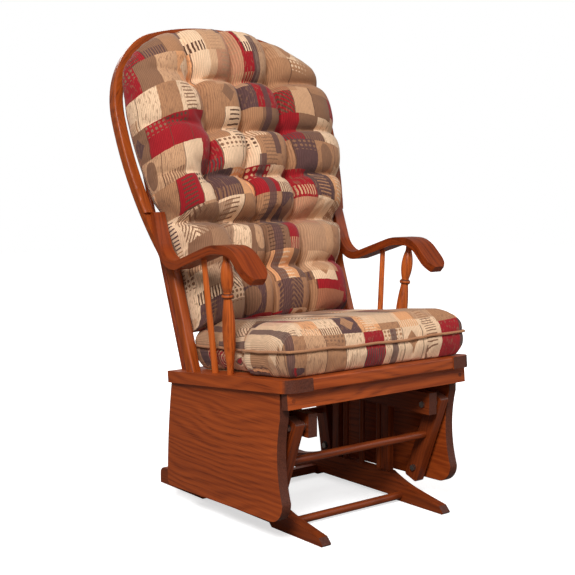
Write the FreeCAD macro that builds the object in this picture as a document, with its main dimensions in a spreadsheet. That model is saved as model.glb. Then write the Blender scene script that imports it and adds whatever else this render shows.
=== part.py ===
"""Bow-back glider chair: a seat on four swing arms that hang from a low base.

Frame: millimetres, +Z up, the front of the chair faces -Y, the floor is Z = 0.
"""
import FreeCAD
import Part
import Sketcher
import math
import os

from FreeCAD import Placement, Rotation, Vector

# Driving dimensions

SIZES = {
    # Seat deck: front top edge, slope down to the back, boards
    "deck_width": 576.0,
    "deck_depth": 480.0,
    "deck_thickness": 29.0,
    "deck_front_y": -350.5,
    "deck_front_z": 378.0,
    "deck_tilt": 5.2,
    "side_board_width": 68.0,
    "cross_board_depth": 72.0,
    "deck_corner_radius": 34.0,
    "seat_board_thickness": 12.0,
    "cleat_width": 18.0,
    "apron_height": 37.0,
    "apron_thickness": 20.0,
    "apron_recess": 19.5,
    "apron_plug_radius": 5.0,
    "apron_plug_inset": 17.0,
    # Side panels under the deck
    "panel_outer_x": 277.5,
    "panel_thickness": 25.4,
    "panel_front_y": -309.0,
    "panel_rear_y": 126.0,
    "panel_shoulder_z": 285.0,
    "panel_toe_y": -317.0,
    "panel_toe_z": 97.0,
    "panel_toe_radius": 44.0,
    "panel_hollow_radius": 330.0,
    "panel_sole_front_y": -275.0,
    "panel_sole_front_z": 52.0,
    "panel_heel_y": 148.0,
    "panel_heel_z": 43.0,
    "panel_heel_radius": 14.0,
    "panel_back_radius": 1560.0,
    "panel_cleat_width": 10.0,
    "panel_cleat_height": 18.0,
    # Swing linkage
    "pivot_mid_y": -71.0,
    "upper_pivot_half": 221.5,
    "upper_pivot_z": 259.0,
    "arm_length": 189.5,
    "front_arm_lean": 20.6,
    "rear_arm_lean": 10.2,
    "arm_inner_x": 214.5,
    "arm_thickness": 25.4,
    "arm_width": 42.0,
    "arm_top_margin": 20.0,
    "arm_bottom_margin": 31.0,
    "arm_corner_radius": 6.0,
    "arm_dowel_place": 0.48,
    "dowel_radius": 9.5,
    "dowel_tenon": 12.0,
    "bolt_radius": 4.0,
    "bolt_head_radius": 8.0,
    "bolt_head_height": 5.5,
    "nut_height": 7.0,
    "bush_radius": 8.0,
    "running_clearance": 0.05,
    "open_bush_radius": 11.5,
    "open_bush_bore": 7.4,
    "side_gap": 0.3,
    "spacer_radius": 12.0,
    "insert_radius": 6.5,
    "insert_depth": 16.0,
    # Base
    "base_outer_x": 202.0,
    "base_thickness": 25.4,
    "runner_front_y": -364.5,
    "runner_rear_y": 304.5,
    "runner_tip_height": 18.5,
    "runner_tip_length": 14.0,
    "runner_tip_lift": 4.0,
    "runner_nose_y": -262.0,
    "runner_nose_z": 35.5,
    "runner_top_front_y": -172.0,
    "runner_top_rear_y": 98.0,
    "runner_top_z": 66.0,
    "runner_tail_y": 188.0,
    "runner_tail_z": 43.0,
    "runner_end_radius": 18.0,
    "runner_hollow_radius": 400.0,
    "pad_front_end_y": -181.0,
    "pad_rear_start_y": 104.0,
    "pad_relief": 9.0,
    "rail_front_y": -314.5,
    "rail_rear_y": 173.5,
    "rail_bottom_z": 235.5,
    "rail_top_z": 289.0,
    "upright_thickness": 22.0,
    "upright_width": 25.4,
    "upright_reach": 94.5,
    "spindle_mid_y": -62.0,
    "spindle_pitch": 64.0,
    "base_spindle_radius": 7.5,
    "base_spindle_tenon": 12.0,
    "front_stretcher_y": -217.0,
    "front_stretcher_z": 15.5,
    "rear_stretcher_y": 108.0,
    "rear_stretcher_z": 3.0,
    "rear_stretcher_height": 22.0,
    "rear_stretcher_depth": 20.0,
    # Bow back
    "bow_recline": 19.6,
    "bow_foot_y": 45.2,
    "bow_foot_z": 341.4,
    "bow_foot_x": 265.0,
    "bow_tenon": 20.0,
    "bow_leg_rise": 235.0,
    "bow_width": 28.0,
    "bow_depth": 30.0,
    "bow_flare_radius": 150.0,
    "bow_flare_turn": 20.0,
    "bow_side_radius": 1064.0,
    "bow_shoulder_radius": 257.0,
    "bow_shoulder_turn": 50.0,
    "bow_corner_radius": 130.0,
    "bow_corner_turn": 23.0,
    "bow_edge_round": 7.0,
    "back_spindle_pitch": 82.0,
    "back_spindle_fan": 1.2,
    "back_spindle_setback": 16.0,
    "back_spindle_foot_radius": 8.5,
    "back_spindle_top_radius": 5.5,
    "back_spindle_tenon": 16.0,
    # Armrests, in side view from the bow forward
    "armrest_top_z": 724.0,
    "armrest_thickness": 20.0,
    "armrest_dip_z": 598.5,
    "armrest_dip_radius": 70.0,
    "armrest_rise": 17.0,
    "armrest_rise_length": 128.0,
    "armrest_crest_radius": 160.0,
    "armrest_crest_length": 21.0,
    "armrest_droop_radius": 72.0,
    "armrest_droop": 44.0,
    "armrest_tip_length": 66.0,
    # Armrests, in plan
    "armrest_x": 287.0,
    "armrest_tip_x": 280.0,
    "armrest_rear_x": 291.0,
    "armrest_rear_half": 13.0,
    "armrest_lap": 9.0,
    "armrest_mid_half": 23.0,
    "armrest_paddle_half": 32.0,
    "armrest_blank_width": 96.0,
    "armrest_mid_y": 28.0,
    "armrest_rear_y": 198.0,
    "armrest_paddle_y": -226.0,
    "armrest_end_radius": 34.9,
    # Turned post and thin spindle under each armrest
    "post_foot_x": 265.0,
    "post_foot_y": -109.0,
    "post_top_x": 290.0,
    "post_top_y": -128.0,
    "post_top_z": 646.0,
    "post_foot_radius": 8.0,
    "post_neck_radius": 9.5,
    "post_vase_start": 22.0,
    "post_vase_end": 176.0,
    "post_vase_radius": 470.0,
    "post_ring_start": 179.0,
    "post_ring_end": 191.0,
    "post_ring_radius": 6.3,
    "post_bulb_start": 194.0,
    "post_bulb_end": 266.0,
    "post_bulb_radius": 115.0,
    "post_tenon": 12.0,
    "arm_spindle_foot_x": 262.0,
    "arm_spindle_foot_y": -43.0,
    "arm_spindle_top_x": 286.0,
    "arm_spindle_top_y": -32.0,
    "arm_spindle_top_z": 626.0,
    "arm_spindle_foot_radius": 8.0,
    "arm_spindle_top_radius": 6.5,
    # Seat cushion, on the deck
    "cushion_ear_half": 275.0,
    "cushion_front_y": 6.0,
    "cushion_ear_end_y": 180.0,
    "cushion_body_half": 243.0,
    "cushion_body_start_y": 206.0,
    "cushion_rear_half": 236.0,
    "cushion_rear_y": 440.0,
    "cushion_welt_z": 60.0,
    "cushion_crown_z": 116.0,
    "cushion_crown_inset": 56.0,
    "cushion_foot_inset": 16.0,
    "cushion_side_inset": 3.2,
    "cushion_lift": 0.4,
    "cushion_front_draw": 4000.0,
    "cushion_side_draw": 1500.0,
    # Back cushion, in the plane of the bow
    "pad_edge_top_t": 27.0,
    "pad_edge_slope": 0.03,
    "pad_back_top_t": 19.0,
    "pad_back_slope": 0.04,
    "pad_back_taper": 0.95,
    "pad_shoulder_inset": 12.0,
    "pad_bed_inset": 34.0,
    "pad_bed_height": 42.0,
    "pad_puff_height": 56.0,
}

doc = FreeCAD.newDocument("GliderChair")
sheet = doc.addObject("Spreadsheet::Sheet", "Sizes")
for row, (alias, number) in enumerate(SIZES.items(), start=1):
    sheet.set(f"A{row}", alias)
    sheet.set(f"B{row}", str(number))
    sheet.setAlias(f"B{row}", alias)
doc.recompute()


class Size:
    """A number together with the sheet formula that gives it."""

    def __init__(self, value, formula):
        self.value = value
        self.formula = formula

    def __add__(self, other):
        other = as_size(other)
        return Size(self.value + other.value, f"({self.formula} + {other.formula})")

    def __sub__(self, other):
        other = as_size(other)
        return Size(self.value - other.value, f"({self.formula} - {other.formula})")

    def __mul__(self, other):
        other = as_size(other)
        return Size(self.value * other.value, f"({self.formula} * {other.formula})")

    def __truediv__(self, other):
        other = as_size(other)
        return Size(self.value / other.value, f"({self.formula} / {other.formula})")

    def __neg__(self):
        return Size(-self.value, f"(-1 * {self.formula})")


def as_size(number):
    return number if isinstance(number, Size) else Size(float(number), repr(float(number)))


def size(alias):
    return Size(float(sheet.get(alias)), f"Sizes.{alias}")


def sine(angle):
    return Size(math.sin(math.radians(angle.value)), f"sin({angle.formula} * 1 deg)")


def cosine(angle):
    return Size(math.cos(math.radians(angle.value)), f"cos({angle.formula} * 1 deg)")


def tangent(angle):
    return Size(math.tan(math.radians(angle.value)), f"tan({angle.formula} * 1 deg)")


QUARTER_TURN = Size(90.0, "90")


def bind(item, path, number):
    item.setExpression(path, as_size(number).formula)


# Shared makers

nodes = []


def node(item, label):
    """Counts an object as one sub-part under its node name."""
    item.Label = label
    nodes.append(item)
    return item


def place(item, x, y, z, turn=0.0, axis=(1, 0, 0)):
    """Binds where an object stands and how far it is turned about an axis through its origin."""
    x, y, z, turn = as_size(x), as_size(y), as_size(z), as_size(turn)
    item.Placement = Placement(Vector(x.value, y.value, z.value), Rotation(Vector(*axis), turn.value))
    bind(item, "Placement.Base.x", x)
    bind(item, "Placement.Base.y", y)
    bind(item, "Placement.Base.z", z)
    if turn.value:
        bind(item, "Placement.Rotation.Angle", turn)


def on_deck(item, x, along, up):
    """Places an object in the frame of the sloping deck: along runs back, up is square to it."""
    tilt = size("deck_tilt")
    y = size("deck_front_y") + as_size(along) * cosine(tilt) + as_size(up) * sine(tilt)
    z = size("deck_front_z") - as_size(along) * sine(tilt) + as_size(up) * cosine(tilt)
    place(item, x, y, z, tilt, (-1, 0, 0))


def deck_point(x, along, up=0.0):
    tilt = math.radians(SIZES["deck_tilt"])
    y = SIZES["deck_front_y"] + along * math.cos(tilt) + up * math.sin(tilt)
    z = SIZES["deck_front_z"] - along * math.sin(tilt) + up * math.cos(tilt)
    return Vector(x, y, z)


def deck_top_z(y):
    """Height of the deck's top at a given Y."""
    return size("deck_front_z") - (as_size(y) - size("deck_front_y")) * tangent(size("deck_tilt"))


def on_bow(item):
    """Places an object in the plane of the bow: X across, Y up along the bow, Z to the front."""
    place(item, 0.0, size("bow_foot_y"), size("bow_foot_z"), QUARTER_TURN - size("bow_recline"))


def bow_point(x, rise, forward=0.0):
    lean = math.radians(SIZES["bow_recline"])
    y = SIZES["bow_foot_y"] + rise * math.sin(lean) - forward * math.cos(lean)
    z = SIZES["bow_foot_z"] + rise * math.cos(lean) + forward * math.sin(lean)
    return Vector(x, y, z)


def box(name, length, width, height):
    item = doc.addObject("Part::Box", name)
    bind(item, "Length", length)
    bind(item, "Width", width)
    bind(item, "Height", height)
    return item


def cylinder(name, radius, height):
    item = doc.addObject("Part::Cylinder", name)
    bind(item, "Radius", radius)
    bind(item, "Height", height)
    return item


def cross_cylinder(name, radius, x, y, z, length):
    """A cylinder along +X that starts at x."""
    item = cylinder(name, radius, length)
    place(item, x, y, z, QUARTER_TURN, (0, 1, 0))
    return item


def cross_ring(name, radius, bore, x, y, z, length):
    outer = cross_cylinder(name + "_outside", radius, x, y, z, length)
    inner = cross_cylinder(name + "_bore", bore, x, y, z, length)
    return cut(name, outer, [inner])


def cut(name, base, tools):
    item = doc.addObject("Part::Cut", name)
    item.Base = base
    item.Tool = tools[0] if len(tools) == 1 else group(name + "_tools", tools)
    return item


def fuse(name, items):
    item = doc.addObject("Part::MultiFuse", name)
    item.Shapes = items
    return item


def group(name, items):
    item = doc.addObject("Part::Compound", name)
    item.Links = items
    return item


def tapered(name, foot, top, foot_radius, top_radius, tenon):
    """A straight taper from foot to top that goes on below the foot by its tenon."""
    axis = top - foot
    axis.normalize()
    start = foot - axis * SIZES[tenon]
    item = doc.addObject("Part::Cone", name)
    bind(item, "Radius1", size(foot_radius))
    bind(item, "Radius2", size(top_radius))
    item.Height = (top - start).Length
    item.Placement = Placement(start, Rotation(Vector(0, 0, 1), axis))
    return item


def sketch_in(body, role):
    sketch = body.newObject("Sketcher::SketchObject", body.Name + "_outline")
    plane = next(item for item in body.Origin.OriginFeatures if item.Role == role)
    sketch.AttachmentSupport = [(plane, "")]
    sketch.MapMode = "FlatFace"
    return sketch


def arc_middle(start, end, radius):
    """A point on the arc that bulges to the right of start to end, or to the left if negative."""
    chord = end - start
    half = chord.Length / 2
    sagitta = abs(radius) - math.sqrt(radius * radius - half * half)
    right = Vector(chord.y, -chord.x, 0)
    right.normalize()
    return (start + end) * 0.5 + right * math.copysign(sagitta, radius)


def draw(sketch, corners, arcs=None):
    """Closes an outline of bound corners. arcs gives a bound radius to the side after a corner."""
    arcs = arcs or {}
    points = [Vector(as_size(u).value, as_size(v).value, 0) for u, v in corners]
    ends = {}
    for index, start in enumerate(points):
        end = points[(index + 1) % len(points)]
        starts_first = index not in arcs or arcs[index].value > 0
        if index in arcs:
            middle = arc_middle(start, end, arcs[index].value)
            around = (start, middle, end) if starts_first else (end, middle, start)
            edge = sketch.addGeometry(Part.Arc(*around), False)
        else:
            edge = sketch.addGeometry(Part.LineSegment(start, end), False)
        ends.setdefault(index, []).append((edge, 1 if starts_first else 2))
        ends.setdefault((index + 1) % len(points), []).append((edge, 2 if starts_first else 1))
        if index in arcs:
            radius = sketch.addConstraint(Sketcher.Constraint("Radius", edge, abs(arcs[index].value)))
            turn = 1.0 if arcs[index].value > 0 else -1.0
            bind(sketch, f"Constraints[{radius}]", arcs[index] * turn)
    for index, (u, v) in enumerate(corners):
        (edge, end), (other_edge, other_end) = ends[index]
        sketch.addConstraint(Sketcher.Constraint("Coincident", edge, end, other_edge, other_end))
        for kind, coordinate in (("DistanceX", u), ("DistanceY", v)):
            coordinate = as_size(coordinate)
            place_at = sketch.addConstraint(Sketcher.Constraint(kind, edge, end, coordinate.value))
            bind(sketch, f"Constraints[{place_at}]", coordinate)


def hole_in(sketch, u, v, radius):
    """Adds a bound round hole to an outline."""
    u, v = as_size(u), as_size(v)
    edge = sketch.addGeometry(Part.Circle(Vector(u.value, v.value, 0), Vector(0, 0, 1), radius.value), False)
    for kind, number in (("DistanceX", u), ("DistanceY", v)):
        index = sketch.addConstraint(Sketcher.Constraint(kind, edge, 3, number.value))
        bind(sketch, f"Constraints[{index}]", number)
    index = sketch.addConstraint(Sketcher.Constraint("Radius", edge, radius.value))
    bind(sketch, f"Constraints[{index}]", radius)


def plate(name, role, corners, thickness, arcs=None, holes=()):
    """A padded outline on one of the body's origin planes."""
    body = doc.addObject("PartDesign::Body", name)
    sketch = sketch_in(body, role)
    draw(sketch, corners, arcs)
    for u, v, radius in holes:
        hole_in(sketch, u, v, radius)
    pad = body.newObject("PartDesign::Pad", name + "_pad")
    pad.Profile = sketch
    bind(pad, "Length", thickness)
    return body


def inward_x(side, inner, thickness):
    """X of the lower face of a plate that lies between inner and inner + thickness on one side."""
    return inner if side > 0 else -(inner + thickness)


SIDES = (("left", -1.0), ("right", 1.0))
ENDS = {"front": -1.0, "rear": 1.0}


# Chains of lines and tangent arcs, for bent wood

def chain(start, heading, steps, offset=0.0):
    """Edges that follow the steps from start, shifted to the left by offset."""
    edges = []
    here = Vector(*start, 0)
    for kind, amount, turn in steps:
        ahead = Vector(math.cos(math.radians(heading)), math.sin(math.radians(heading)), 0)
        left = Vector(-ahead.y, ahead.x, 0)
        if kind == "line":
            there = here + ahead * amount
            edges.append(Part.LineSegment(here + left * offset, there + left * offset).toShape())
        else:
            bend = math.copysign(1.0, turn)
            centre = here + left * (amount * bend)
            reach = amount - bend * offset

            def at(share):
                angle = math.radians(heading - 90 * bend + turn * share)
                return Vector(math.cos(angle), math.sin(angle), 0)

            spread = [centre + at(share) * reach for share in (0.0, 0.5, 1.0)]
            edges.append(Part.Arc(*spread).toShape())
            there = centre + at(1.0) * amount
            heading += turn
        here = there
    return edges, here, heading


def band(start, heading, steps, width):
    """A flat strip of constant width along a chain."""
    left, _, _ = chain(start, heading, steps, width / 2)
    right, _, _ = chain(start, heading, steps, -width / 2)
    cap_start = Part.LineSegment(right[0].Vertexes[0].Point, left[0].Vertexes[0].Point).toShape()
    cap_end = Part.LineSegment(left[-1].Vertexes[-1].Point, right[-1].Vertexes[-1].Point).toShape()
    ring = Part.Wire(Part.__sortEdges__(left + right + [cap_start, cap_end]))
    return Part.Face(ring)


# Base: runners, rails, uprights, spindles and stretchers

base_inner_x = size("base_outer_x") - size("base_thickness")
base_mid_x = base_inner_x + size("base_thickness") / 2


def make_base_spindles(name, side):
    tenon = size("base_spindle_tenon")
    length = size("rail_bottom_z") - size("runner_top_z") + tenon * 2
    turned = []
    for count in (-1, 0, 1):
        item = cylinder(f"{name}_{count + 2}", size("base_spindle_radius"), length)
        y = size("spindle_mid_y") + size("spindle_pitch") * count
        place(item, base_mid_x * side, y, size("runner_top_z") - tenon)
        turned.append(item)
    return node(group(name, turned), name)


def make_runner(name, side, tools):
    front, rear = size("runner_front_y"), size("runner_rear_y")
    relief = size("pad_relief")
    end_radius = size("runner_end_radius")
    corners = [
        (front + size("runner_tip_lift"), 0.0),
        (size("pad_front_end_y"), 0.0),
        (size("pad_front_end_y") + relief, relief),
        (size("pad_rear_start_y") - relief, relief),
        (size("pad_rear_start_y"), 0.0),
        (rear, 0.0),
        (rear, size("runner_tail_z") - end_radius),
        (rear - end_radius, size("runner_tail_z")),
        (size("runner_tail_y"), size("runner_tail_z")),
        (size("runner_top_rear_y"), size("runner_top_z")),
        (size("runner_top_front_y"), size("runner_top_z")),
        (size("runner_nose_y"), size("runner_nose_z")),
        (front + size("runner_tip_length"), size("runner_tip_height")),
        (front, size("runner_tip_lift")),
    ]
    arcs = {6: end_radius, 8: -size("runner_hollow_radius"), 10: -size("runner_hollow_radius")}
    blank = plate(name + "_blank", "YZ_Plane", corners, size("base_thickness"), arcs)
    place(blank, inward_x(side, base_inner_x, size("base_thickness")), 0.0, 0.0)
    return node(cut(name, blank, tools), name)


def make_rail(name, side, tools):
    length = size("rail_rear_y") - size("rail_front_y")
    height = size("rail_top_z") - size("rail_bottom_z")
    blank = box(name + "_blank", size("base_thickness"), length, height)
    x = inward_x(side, base_inner_x, size("base_thickness"))
    place(blank, x, size("rail_front_y"), size("rail_bottom_z"))
    return node(cut(name, blank, tools), name)


def make_upright(name, side, middle_y):
    item = box(name, size("upright_thickness"), size("upright_width"),
               size("rail_bottom_z") - size("runner_top_z"))
    inner = base_mid_x - size("upright_thickness") / 2
    x = inward_x(side, inner, size("upright_thickness"))
    place(item, x, middle_y - size("upright_width") / 2, size("runner_top_z"))
    return node(item, name)


def make_base():
    reach = base_inner_x + size("dowel_tenon")
    front = cross_cylinder("front_floor_stretcher", size("dowel_radius"), -reach,
                           size("front_stretcher_y"), size("front_stretcher_z"), reach * 2)
    node(front, "front_floor_stretcher")
    rear = box("rear_floor_stretcher", base_inner_x * 2, size("rear_stretcher_depth"),
               size("rear_stretcher_height"))
    place(rear, -base_inner_x, size("rear_stretcher_y"), size("rear_stretcher_z"))
    node(rear, "rear_floor_stretcher")
    for word, side in SIDES:
        spindles = make_base_spindles(f"{word}_base_spindles", side)
        make_runner(f"{word}_runner", side, [spindles, front])
        bores = [cross_cylinder(f"{word}_{end}_rail_bore", size("bolt_radius"), -size("deck_width"),
                                *upper_pivot(end), size("deck_width") * 2) for end in ENDS]
        make_rail(f"{word}_base_rail", side, [spindles] + bores)
        for end, way in ENDS.items():
            make_upright(f"{word}_{end}_upright", side, size("spindle_mid_y") + size("upright_reach") * way)


# Swing arms and their pivots

def down_arm(end, share):
    """Y and Z of the point at a share of the way from an arm's upper pivot to its lower one."""
    lean, reach = size(f"{end}_arm_lean"), size("arm_length") * share
    top_y = size("pivot_mid_y") + size("upper_pivot_half") * ENDS[end]
    return top_y - reach * sine(lean) * ENDS[end], size("upper_pivot_z") - reach * cosine(lean)


def upper_pivot(end):
    return down_arm(end, 0.0)


def lower_pivot(end):
    return down_arm(end, 1.0)


def make_arm(name, end, side, dowel):
    """One flat arm: its own Y and Z are the arm's width and length, from the upper pivot down."""
    length = size("arm_length")
    half, round_off = size("arm_width") / 2, size("arm_corner_radius")
    top, bottom = size("arm_top_margin"), -(length + size("arm_bottom_margin"))
    corners = [
        (-half + round_off, bottom), (half - round_off, bottom),
        (half, bottom + round_off), (half, top - round_off),
        (half - round_off, top), (-half + round_off, top),
        (-half, top - round_off), (-half, bottom + round_off),
    ]
    arcs = {1: round_off, 3: round_off, 5: round_off, 7: round_off}
    low_bore = size("bush_radius") if end == "front" else size("open_bush_radius")
    holes = [(0.0, 0.0, size("bush_radius")), (0.0, -length, low_bore)]
    blank = plate(name + "_blank", "YZ_Plane", corners, size("arm_thickness"), arcs, holes)
    x = inward_x(side, size("arm_inner_x"), size("arm_thickness"))
    place(blank, x, *upper_pivot(end), size(f"{end}_arm_lean"), (-ENDS[end], 0, 0))
    return node(cut(name, blank, [dowel]), name)


def make_arm_pair(end):
    at = down_arm(end, size("arm_dowel_place"))
    reach = size("arm_inner_x") + size("dowel_tenon")
    dowel = cross_cylinder(f"{end}_arm_dowel", size("dowel_radius"), -reach, *at, reach * 2)
    node(dowel, f"{end}_arm_dowel")
    snug = size("bolt_radius") + size("running_clearance")
    bushes, open_bushes = [], []
    for word, side in SIDES:
        make_arm(f"{word}_{end}_arm", end, side, dowel)
        x = inward_x(side, size("arm_inner_x"), size("arm_thickness"))
        bushes.append(cross_ring(f"{word}_{end}_upper_bush", size("bush_radius"), snug, x,
                                 *upper_pivot(end), size("arm_thickness")))
        lower = (x, *lower_pivot(end), size("arm_thickness"))
        if end == "front":
            bushes.append(cross_ring(f"{word}_{end}_lower_bush", size("bush_radius"), snug, *lower))
        else:
            open_bushes.append(cross_ring(f"{word}_{end}_lower_bush", size("open_bush_radius"),
                                          size("open_bush_bore"), *lower))
    node(group(f"{end}_arm_bushes", bushes), f"{end}_arm_bushes")
    if open_bushes:
        node(group("rear_arm_lower_bushes", open_bushes), "rear_arm_lower_bushes")


def cross_hexagon(name, x, y, z, height):
    item = doc.addObject("Part::Prism", name)
    item.Polygon = 6
    bind(item, "Circumradius", size("bolt_head_radius"))
    bind(item, "Height", height)
    place(item, x, y, z, QUARTER_TURN, (0, 1, 0))
    return item


def mirrored_x(side, low, high):
    """Lower X of a span that runs from low to high on the right, or mirrored on the left."""
    return low if side > 0 else -high


def make_upper_pivots():
    """Bolts through the rails: head inside, spacer and arm outside, then the nut."""
    gap = size("side_gap")
    head = size("bolt_head_height")
    arm_outer = size("arm_inner_x") + size("arm_thickness")
    nut_start, nut_end = arm_outer + gap, arm_outer + gap + size("nut_height")
    bolts, nuts, spacers = [], [], []
    for word, side in SIDES:
        for end in ENDS:
            tag = f"{word}_{end}_upper"
            at = upper_pivot(end)
            head_x = mirrored_x(side, base_inner_x - head, base_inner_x)
            shank_x = mirrored_x(side, base_inner_x, nut_end)
            bolts.append(fuse(tag + "_bolt", [
                cross_hexagon(tag + "_head", head_x, *at, head),
                cross_cylinder(tag + "_shank", size("bolt_radius"), shank_x, *at, nut_end - base_inner_x)]))
            nut_x = mirrored_x(side, nut_start, nut_end)
            nuts.append(cut(tag + "_nut", cross_hexagon(tag + "_nut_body", nut_x, *at, size("nut_height")),
                            [cross_cylinder(tag + "_nut_bore", size("bolt_radius"), nut_x, *at,
                                            size("nut_height"))]))
            spacer_end = size("arm_inner_x") - gap
            spacers.append(cross_ring(tag + "_spacer", size("spacer_radius"), size("bolt_radius"),
                                      mirrored_x(side, size("base_outer_x"), spacer_end), *at,
                                      spacer_end - size("base_outer_x")))
    node(group("upper_pivot_bolts", bolts), "upper_pivot_bolts")
    node(group("upper_pivot_nuts", nuts), "upper_pivot_nuts")
    node(group("upper_pivot_spacers", spacers), "upper_pivot_spacers")


def make_lower_pivots():
    """Bolts from inside each arm into a threaded insert in the side panel."""
    gap = size("side_gap")
    head = size("bolt_head_height")
    panel_inner = size("panel_outer_x") - size("panel_thickness")
    insert_end = panel_inner + size("insert_depth")
    head_end = size("arm_inner_x") - gap
    spacer_start = size("arm_inner_x") + size("arm_thickness") + gap
    bolts, inserts, spacers = [], [], []
    for word, side in SIDES:
        for end in ENDS:
            tag = f"{word}_{end}_lower"
            at = lower_pivot(end)
            head_x = mirrored_x(side, head_end - head, head_end)
            shank_x = mirrored_x(side, head_end, insert_end)
            bolts.append(fuse(tag + "_bolt", [
                cross_hexagon(tag + "_head", head_x, *at, head),
                cross_cylinder(tag + "_shank", size("bolt_radius"), shank_x, *at, insert_end - head_end)]))
            inserts.append(cross_ring(tag + "_insert", size("insert_radius"), size("bolt_radius"),
                                      mirrored_x(side, panel_inner, insert_end), *at, size("insert_depth")))
            spacers.append(cross_ring(tag + "_spacer", size("spacer_radius"), size("bolt_radius"),
                                      mirrored_x(side, spacer_start, panel_inner), *at,
                                      panel_inner - spacer_start))
    node(group("lower_pivot_bolts", bolts), "lower_pivot_bolts")
    node(group("lower_pivot_inserts", inserts), "lower_pivot_inserts")
    node(group("lower_pivot_spacers", spacers), "lower_pivot_spacers")


# Seat: panels, deck and apron

def make_panel(name, side):
    def under_deck(y):
        return deck_top_z(y) - size("deck_thickness") / cosine(size("deck_tilt"))

    front, rear = size("panel_front_y"), size("panel_rear_y")
    heel, heel_radius = size("panel_heel_y"), size("panel_heel_radius")
    corners = [
        (rear, under_deck(rear)),
        (front, under_deck(front)),
        (front, size("panel_shoulder_z")),
        (size("panel_toe_y"), size("panel_toe_z")),
        (size("panel_sole_front_y"), size("panel_sole_front_z")),
        (heel - heel_radius, size("panel_heel_z")),
        (heel, size("panel_heel_z") + heel_radius),
    ]
    arcs = {2: -size("panel_hollow_radius"), 3: size("panel_toe_radius"), 5: heel_radius,
            6: size("panel_back_radius")}
    inner = size("panel_outer_x") - size("panel_thickness")
    blank = plate(name + "_blank", "YZ_Plane", corners, size("panel_thickness"), arcs)
    place(blank, inward_x(side, inner, size("panel_thickness")), 0.0, 0.0)
    depth = size("insert_depth")
    sockets = [cross_cylinder(f"{name}_{end}_socket", size("insert_radius"),
                              mirrored_x(side, inner, inner + depth), *lower_pivot(end), depth)
               for end in ENDS]
    return node(cut(name, blank, sockets), name)


def make_deck(tools_by_board):
    half, depth = size("deck_width") / 2, size("deck_depth")
    inner = half - size("side_board_width")
    round_off = size("deck_corner_radius")
    thickness = size("deck_thickness")
    for word, side in SIDES:
        name = f"{word}_deck_board"
        corners = [(inner * side, 0.0), ((half - round_off) * side, 0.0), (half * side, round_off),
                   (half * side, depth), (inner * side, depth)]
        blank = plate(name + "_blank", "XY_Plane", corners, thickness, {1: round_off * side})
        on_deck(blank, 0.0, 0.0, -thickness)
        node(cut(name, blank, tools_by_board[word]), name)
    cross = size("cross_board_depth")
    front = box("front_deck_board", inner * 2, cross, thickness)
    on_deck(front, -inner, 0.0, -thickness)
    node(front, "front_deck_board")
    rear = box("rear_deck_board_blank", inner * 2, cross, thickness)
    on_deck(rear, -inner, depth - cross, -thickness)
    node(cut("rear_deck_board", rear, tools_by_board["rear"]), "rear_deck_board")
    board = box("seat_board", inner * 2, depth - cross * 2, size("seat_board_thickness"))
    on_deck(board, -inner, cross, -size("seat_board_thickness"))
    node(board, "seat_board")
    strips = []
    for word, side in SIDES:
        strip = box(f"{word}_seat_cleat", size("cleat_width"), depth - cross * 2,
                    thickness - size("seat_board_thickness"))
        on_deck(strip, mirrored_x(side, inner - size("cleat_width"), inner), cross, -thickness)
        strips.append(strip)
    node(group("seat_cleats", strips), "seat_cleats")


def make_apron():
    recess, thickness = size("apron_recess"), size("apron_thickness")
    length = size("panel_outer_x") * 2
    low = -(size("deck_thickness") + size("apron_height"))
    blank = box("front_apron_blank", length, thickness, size("apron_height"))
    on_deck(blank, -size("panel_outer_x"), recess, low)
    plugs = []
    for word, side in SIDES:
        plug = cylinder(f"{word}_apron_plug", size("apron_plug_radius"), size("apron_plug_radius"))
        x = (size("panel_outer_x") - size("apron_plug_inset")) * side
        tilt = size("deck_tilt")
        up = low + size("apron_height") / 2
        y = size("deck_front_y") + recess * cosine(tilt) + up * sine(tilt)
        z = size("deck_front_z") - recess * sine(tilt) + up * cosine(tilt)
        place(plug, x, y, z, QUARTER_TURN + tilt, (-1, 0, 0))
        plugs.append(plug)
    node(group("apron_plugs", plugs), "apron_plugs")
    node(cut("front_apron", blank, plugs), "front_apron")
    for word, side in SIDES:
        name = f"{word}_panel_cleat"
        inner = size("panel_outer_x") - size("panel_thickness")
        start = recess + thickness
        strip = box(name, size("panel_cleat_width"), size("deck_depth") - start - size("cross_board_depth"),
                    size("panel_cleat_height"))
        x = mirrored_x(side, inner - size("panel_cleat_width"), inner)
        on_deck(strip, x, start, -(size("deck_thickness") + size("panel_cleat_height")))
        node(strip, name)


# Back: bow and spindles

UPWARD = QUARTER_TURN.value
# Longest edge, in height, that still counts as lying flat
FLAT = 1e-6


def bow_steps():
    """The bow's centre line from the left tenon over the crown to the right tenon."""
    flare = SIZES["bow_flare_turn"]
    start = (-SIZES["bow_foot_x"], -SIZES["bow_tenon"])
    half = [
        ("line", SIZES["bow_leg_rise"] + SIZES["bow_tenon"], 0.0),
        ("arc", SIZES["bow_flare_radius"], flare),
        ("arc", SIZES["bow_side_radius"], -flare),
        ("arc", SIZES["bow_shoulder_radius"], -SIZES["bow_shoulder_turn"]),
        ("arc", SIZES["bow_corner_radius"], -SIZES["bow_corner_turn"]),
    ]
    _, corner, heading = chain(start, UPWARD, half)
    crown_radius = abs(corner.x) / math.sin(math.radians(heading))
    return start, half + [("arc", crown_radius, -2 * heading)] + half[::-1]


def bow_rise_at(x):
    """Height of the bow's centre line, along the bow, above a given X of its upper half."""
    start, steps = bow_steps()
    edges, _, _ = chain(start, UPWARD, steps)
    low, high = Vector(x, SIZES["bow_leg_rise"] * 2, 0), Vector(x, SIZES["deck_width"] * 2, 0)
    upright = Part.LineSegment(low, high).toShape()
    return max(vertex.Point.y for edge in edges for vertex in edge.section(upright).Vertexes)


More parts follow.
